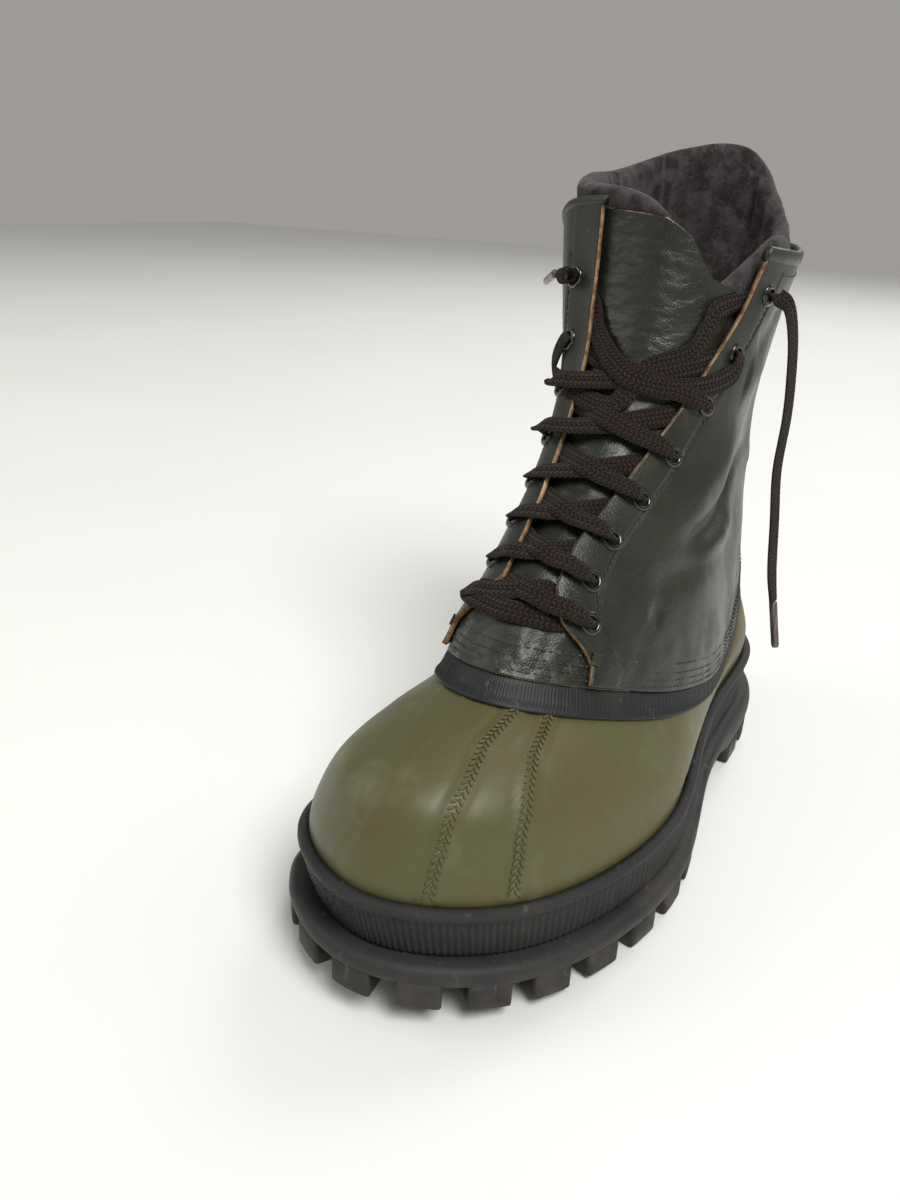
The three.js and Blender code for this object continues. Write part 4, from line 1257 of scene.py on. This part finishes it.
def strapMarks(a, b, over, bulge=0.0):
    ends = [onLast(spot["turn"], spot["v"], 0.004) for spot in (a, b)]
    total = float(np.linalg.norm(ends[1] - ends[0]))
    course = (ends[1] - ends[0]) / total
    own = leather["eyeletInset"] / total
    rows = (
        (0.0, a["depth"] - 0.0032, 1.0), (0.0, a["depth"] + 0.0008, 0.9),
        (0.003 / total, a["depth"] + 0.0028 + bulge, 0.35),
        (0.0075 / total, a["depth"] + 0.0024 + bulge, 0.0), (own, a["depth"] + 0.0014 + bulge / 2, 0.0),
        (mix(own, 1 - own, 0.25), 0.0030, 0.0), (0.5, 0.0040 if over else 0.0024, 0.0),
        (mix(own, 1 - own, 0.85), 0.0012, 0.0), (1 - own, 0.0007, 0.0), (1 - 0.005 / total, 0.0006, 0.3),
        (1.0, 0.0008, 1.0), (1.0, b["depth"] - 0.0006, 1.0),
    )
    far = [spotDistance(a), spotDistance(b)]
    marks = []
    for share, depth, narrow in rows:
        v = mix(a["v"], b["v"], share)
        if own * 0.8 < share < 1 - own * 0.5:
            depth += lace["overVamp"] * float(smooth((7.65 - v) / 0.3))
        marks.append(laceMark(mix(*far, share), v, depth, course, narrow))
    return marks


# A slack strap follows marks of (turn, v) on the tongue between two eyelets.
def slackMarks(a, b, middle, depth):
    places = [(a["turn"], a["v"], a["depth"] - 0.0032, 1.0), (a["turn"], a["v"], a["depth"] + 0.0026, 0.5)]
    places += [(turn, v, d, 0.0) for (turn, v), d in zip(middle, depth)]
    places += [(b["turn"], b["v"], 0.0010, 0.9), (b["turn"], b["v"], b["depth"] - 0.0006, 1.0)]
    points = [onLast(turn, v, d) for turn, v, d, _ in places]
    rows = []
    for i, (turn, v, _, narrow) in enumerate(places):
        course = points[min(i + 1, len(points) - 1)] - points[max(i - 1, 0)]
        course = course / np.linalg.norm(course)
        normal = lastNormal(np.array(turn), np.array(v, float))
        face = normal - course * np.dot(normal, course)
        length = np.linalg.norm(face)
        face = face / length if length > 0.05 else np.array((0.0, 0.0, 1.0))
        width = mix(lace["width"], lace["holeWidth"], narrow)
        rows.append((*points[i], *face, width, mix(lace["thick"], lace["holeThick"], narrow)))
    return rows


topStraps = {
    "upper": (
        (0.166, 9.86), (0.124, 9.65), (0.074, 9.6), (0.023, 9.68), (-0.014, 9.97), (-0.047, 10.49),
        (-0.059, 10.95),
    ),
    "upperDepth": (0.0050, 0.0040, 0.0038, 0.0042, 0.0040, 0.0014, 0.0008),
    "under": (
        (-0.127, 9.65), (-0.064, 9.34), (0.001, 9.19), (0.036, 9.91), (0.099, 10.23), (0.116, 10.72),
        (0.126, 11.04),
    ),
    "underDepth": (0.0060, 0.0040, 0.0024, 0.0016, 0.0010, 0.0006, 0.0006),
}


def mergeMeshes(name, meshes):
    whole = bmesh.new()
    for mesh in meshes:
        whole.from_mesh(mesh)
        bpy.data.meshes.remove(mesh)
    merged = bpy.data.meshes.new(name)
    whole.to_mesh(merged)
    whole.free()
    return merged


# The knot at the top inner eyelet: the lace wound on itself into a round knob.
knob = {"radius": 0.0027, "turns": 2.4, "rise": 0.0052, "spread": 0.0022}


def knobMarks(spot, ahead):
    middle = onLast(spot["turn"], spot["v"], spot["depth"] + knob["rise"])
    normal = lastNormal(np.array(spot["turn"]), np.array(spot["v"]))
    side = np.cross(ahead, normal)
    side /= np.linalg.norm(side)
    up = np.cross(side, ahead)
    rows = []
    for i in range(25):
        share = i / 24
        angle = 2 * math.pi * knob["turns"] * share
        out = side * math.cos(angle) + up * math.sin(angle)
        drift = ahead * knob["spread"] * math.sin(angle * 0.7) + ahead * knob["spread"] * (share - 0.5)
        grown = knob["radius"] * (0.75 + 0.35 * share)
        rows.append((*(middle + out * grown + drift), *out, 0.0078, lace["thick"]))
    return rows


# The stretch between the hole of the top outer eyelet and the start of the hanging end.
def joinMarks():
    spot = spots[1][7]
    marks = hangingMarks()
    normal = lastNormal(np.array(spot["turn"]), np.array(spot["v"]))
    down = np.array((0.0, 0.0, 1.0)) - normal * normal[2]
    down /= np.linalg.norm(down)
    under = onLast(spot["turn"], spot["v"], spot["depth"] - 0.0032)
    above = onLast(spot["turn"], spot["v"], spot["depth"] + 0.0022) + down * 0.0006
    thin = lace["thick"] * 0.94
    rows = [(*under, *down, lace["holeWidth"], lace["holeThick"]), (*above, *down, lace["holeWidth"] * 1.15, thin)]
    start, face = np.array(marks[0][:3]), np.array(marks[0][3:6])
    ahead = np.array(marks[1][:3]) - start
    rows.append((*(start - ahead * 0.05), *face, hanging["width"] * 0.97, thin))
    rows.append((*(start + ahead * 0.25), *face, hanging["width"] * 0.97, thin))
    return rows


def makeStraps():
    meshes = []
    bottom = [spots[side][0] for side in (-1, 1)]
    meshes.append(ribbonMesh("bar", strapMarks(*bottom, False)))
    for i in range(6):
        for side, over in ((-1, False), (1, True)):
            bulge = 0.0045 if side == -1 and i >= 4 else 0.0006
            marks = strapMarks(spots[side][i], spots[-side][i + 1], over, bulge)
            meshes.append(ribbonMesh("strap", marks))
    for side, key in ((-1, "under"), (1, "upper")):
        marks = slackMarks(spots[side][6], spots[-side][7], topStraps[key], topStraps[key + "Depth"])
        meshes.append(ribbonMesh("strap", marks))
    meshes.append(ribbonMesh("join", joinMarks()))
    low, high = (np.array(corner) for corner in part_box("aglet_inner"))
    spot = spots[-1][7]
    ahead = np.array((low[0], high[1], low[2])) - onLast(spot["turn"], spot["v"], spot["depth"])
    meshes.append(ribbonMesh("knob", knobMarks(spot, ahead / np.linalg.norm(ahead))))
    makePiece("laceStraps", mergeMeshes("laceStraps", meshes), ("lace",), ("lace",))


makeStraps()
print("straps made")

# Felt liner: one closed form, from the middle of its underside over the rolled rim to the middle of its bed
liner = {
    "columns": 420, "rows": 230, "out": 0.0032, "inside": 0.0112, "rimFront": 11.3, "rimLowest": 0.11, "rimDip": 0.17,
    "sag": 0.9, "sagMiddle": 0.32, "sagReach": 0.24, "bulge": 0.003, "rimRound": 0.2,
}


def turnsApart(a, b):
    return np.abs((a - b + 1.5) % 1 - 0.5)


def linerTop(turn):
    full = 13 - liner["sag"] * smooth(1 - turnsApart(turn, liner["sagMiddle"]) / liner["sagReach"])
    return mix(liner["rimFront"], full, smooth(turnsApart(turn, liner["rimLowest"]) / liner["rimDip"]))


def layLiner(across, along):
    top = linerTop(across)
    proud = liner["bulge"] * smooth(top - 12) * smooth((turnsApart(across, 0) - 0.16) / 0.06)
    arc = np.clip((along - 0.46) / 0.14, 0, 1)
    angle = np.pi * arc
    rise = top - liner["rimRound"]
    v = np.interp(along, (0, 0.06, 0.10), (0.0, 0.0, 0.13))
    outer = np.clip((along - 0.10) / 0.36, 0, 1)
    inner = np.clip((along - 0.60) / 0.32, 0, 1)
    v = mix(v, rise, outer)
    v = np.where(along > 0.46, rise + liner["rimRound"] * np.sin(angle), v)
    v = np.where(along > 0.60, mix(rise, 0.42, inner), v)
    depth = np.interp(along, (0.0, 0.06, 0.10), (-0.0062, -0.0062, -liner["out"]))
    depth = np.where(along > 0.30, -liner["out"] + proud * smooth((along - 0.34) / 0.1), depth)
    middle, half = -0.0072, 0.0040 + proud
    depth = np.where(along > 0.46, middle + np.where(angle < np.pi / 2, half, 0.0040) * np.cos(angle), depth)
    depth = np.where(along > 0.60, -liner["inside"], depth)
    points = onLast(across, v)
    shows = smooth((along - 0.38) / 0.05) * smooth((0.92 - along) / 0.1)
    fluff = 0.0010 * waves(points, 90, 5) + 0.0006 * waves(points, 260, 1)
    fold = np.zeros_like(across)
    for place in (0.36, 0.43, 0.47, 0.56, 0.63, 0.72):
        fold += np.exp(-((turnsApart(across, place) / 0.006) ** 2))
    point = onLast(across, v, depth + shows * (fluff - 0.0012 * fold * (along > 0.52)))
    closing = np.maximum(np.clip(1 - along / 0.06, 0, 1), np.clip((along - 0.93) / 0.07, 0, 1))
    mirrored = onLast(np.minimum(across, 1 - across), v, depth)
    point[:, 0] = mix(point[:, 0], last["shiftX"], closing)
    point[:, 1:] = mix(point[:, 1:], mirrored[:, 1:], closing[:, None])
    return point


def makeLiner():
    mesh = gridMesh("feltLiner", liner["columns"], liner["rows"], layLiner, (0.8, 0.6))
    makePiece("feltLiner", closeEnds(mesh), ("felt",), ("felt_liner",))


makeLiner()
print("liner made")


# Floor, light and world
stage = {"floor": (0.80, 0.81, 0.77), "world": 0.34, "floorSize": 8.0}


def floorMaterial():
    material, tree, shader = newMaterial("floorPaint", Roughness=0.7)
    tone = band(tree, cloudy(tree, place(tree), 3, 2), 0.3, 0.7)
    link(tree, shader, Base_Color=blendColor(tree, tone, stage["floor"], tuple(c * 0.98 for c in stage["floor"])))
    return material


def makeStage():
    ground = bmesh.new()
    bmesh.ops.create_grid(ground, x_segments=1, y_segments=1, size=stage["floorSize"] / 2)
    mesh = bpy.data.meshes.new("floor")
    ground.to_mesh(mesh)
    ground.free()
    floor = bpy.data.objects.new("floor", mesh)
    mesh.materials.append(floorMaterial())
    bpy.context.scene.collection.objects.link(floor)
    world = bpy.data.worlds.new("world")
    world.use_nodes = True
    world.node_tree.nodes["Background"].inputs[0].default_value = (1, 0.965, 0.93, 1)
    world.node_tree.nodes["Background"].inputs[1].default_value = stage["world"]
    bpy.context.scene.world = world
    middle = Vector((0, 0, 0.1))
    lights = (
        ("keyLight", (1.3, -0.8, 2.2), 1.4, 62),
        ("fillLight", (-2.2, -1.2, 1.6), 2.0, 20),
        ("backLight", (0.1, 2.2, 2.0), 1.8, 30),
    )
    for name, spot, size, power in lights:
        data = bpy.data.lights.new(name, "AREA")
        data.shape = "DISK"
        data.size = size
        data.energy = power
        light = bpy.data.objects.new(name, data)
        way = (middle - Vector(spot)).normalized()
        light.matrix_world = Matrix.Translation(spot) @ way.to_track_quat("-Z", "Y").to_matrix().to_4x4()
        bpy.context.scene.collection.objects.link(light)
    bpy.context.scene.view_settings.view_transform = "Standard"


makeStage()
print("stage made")
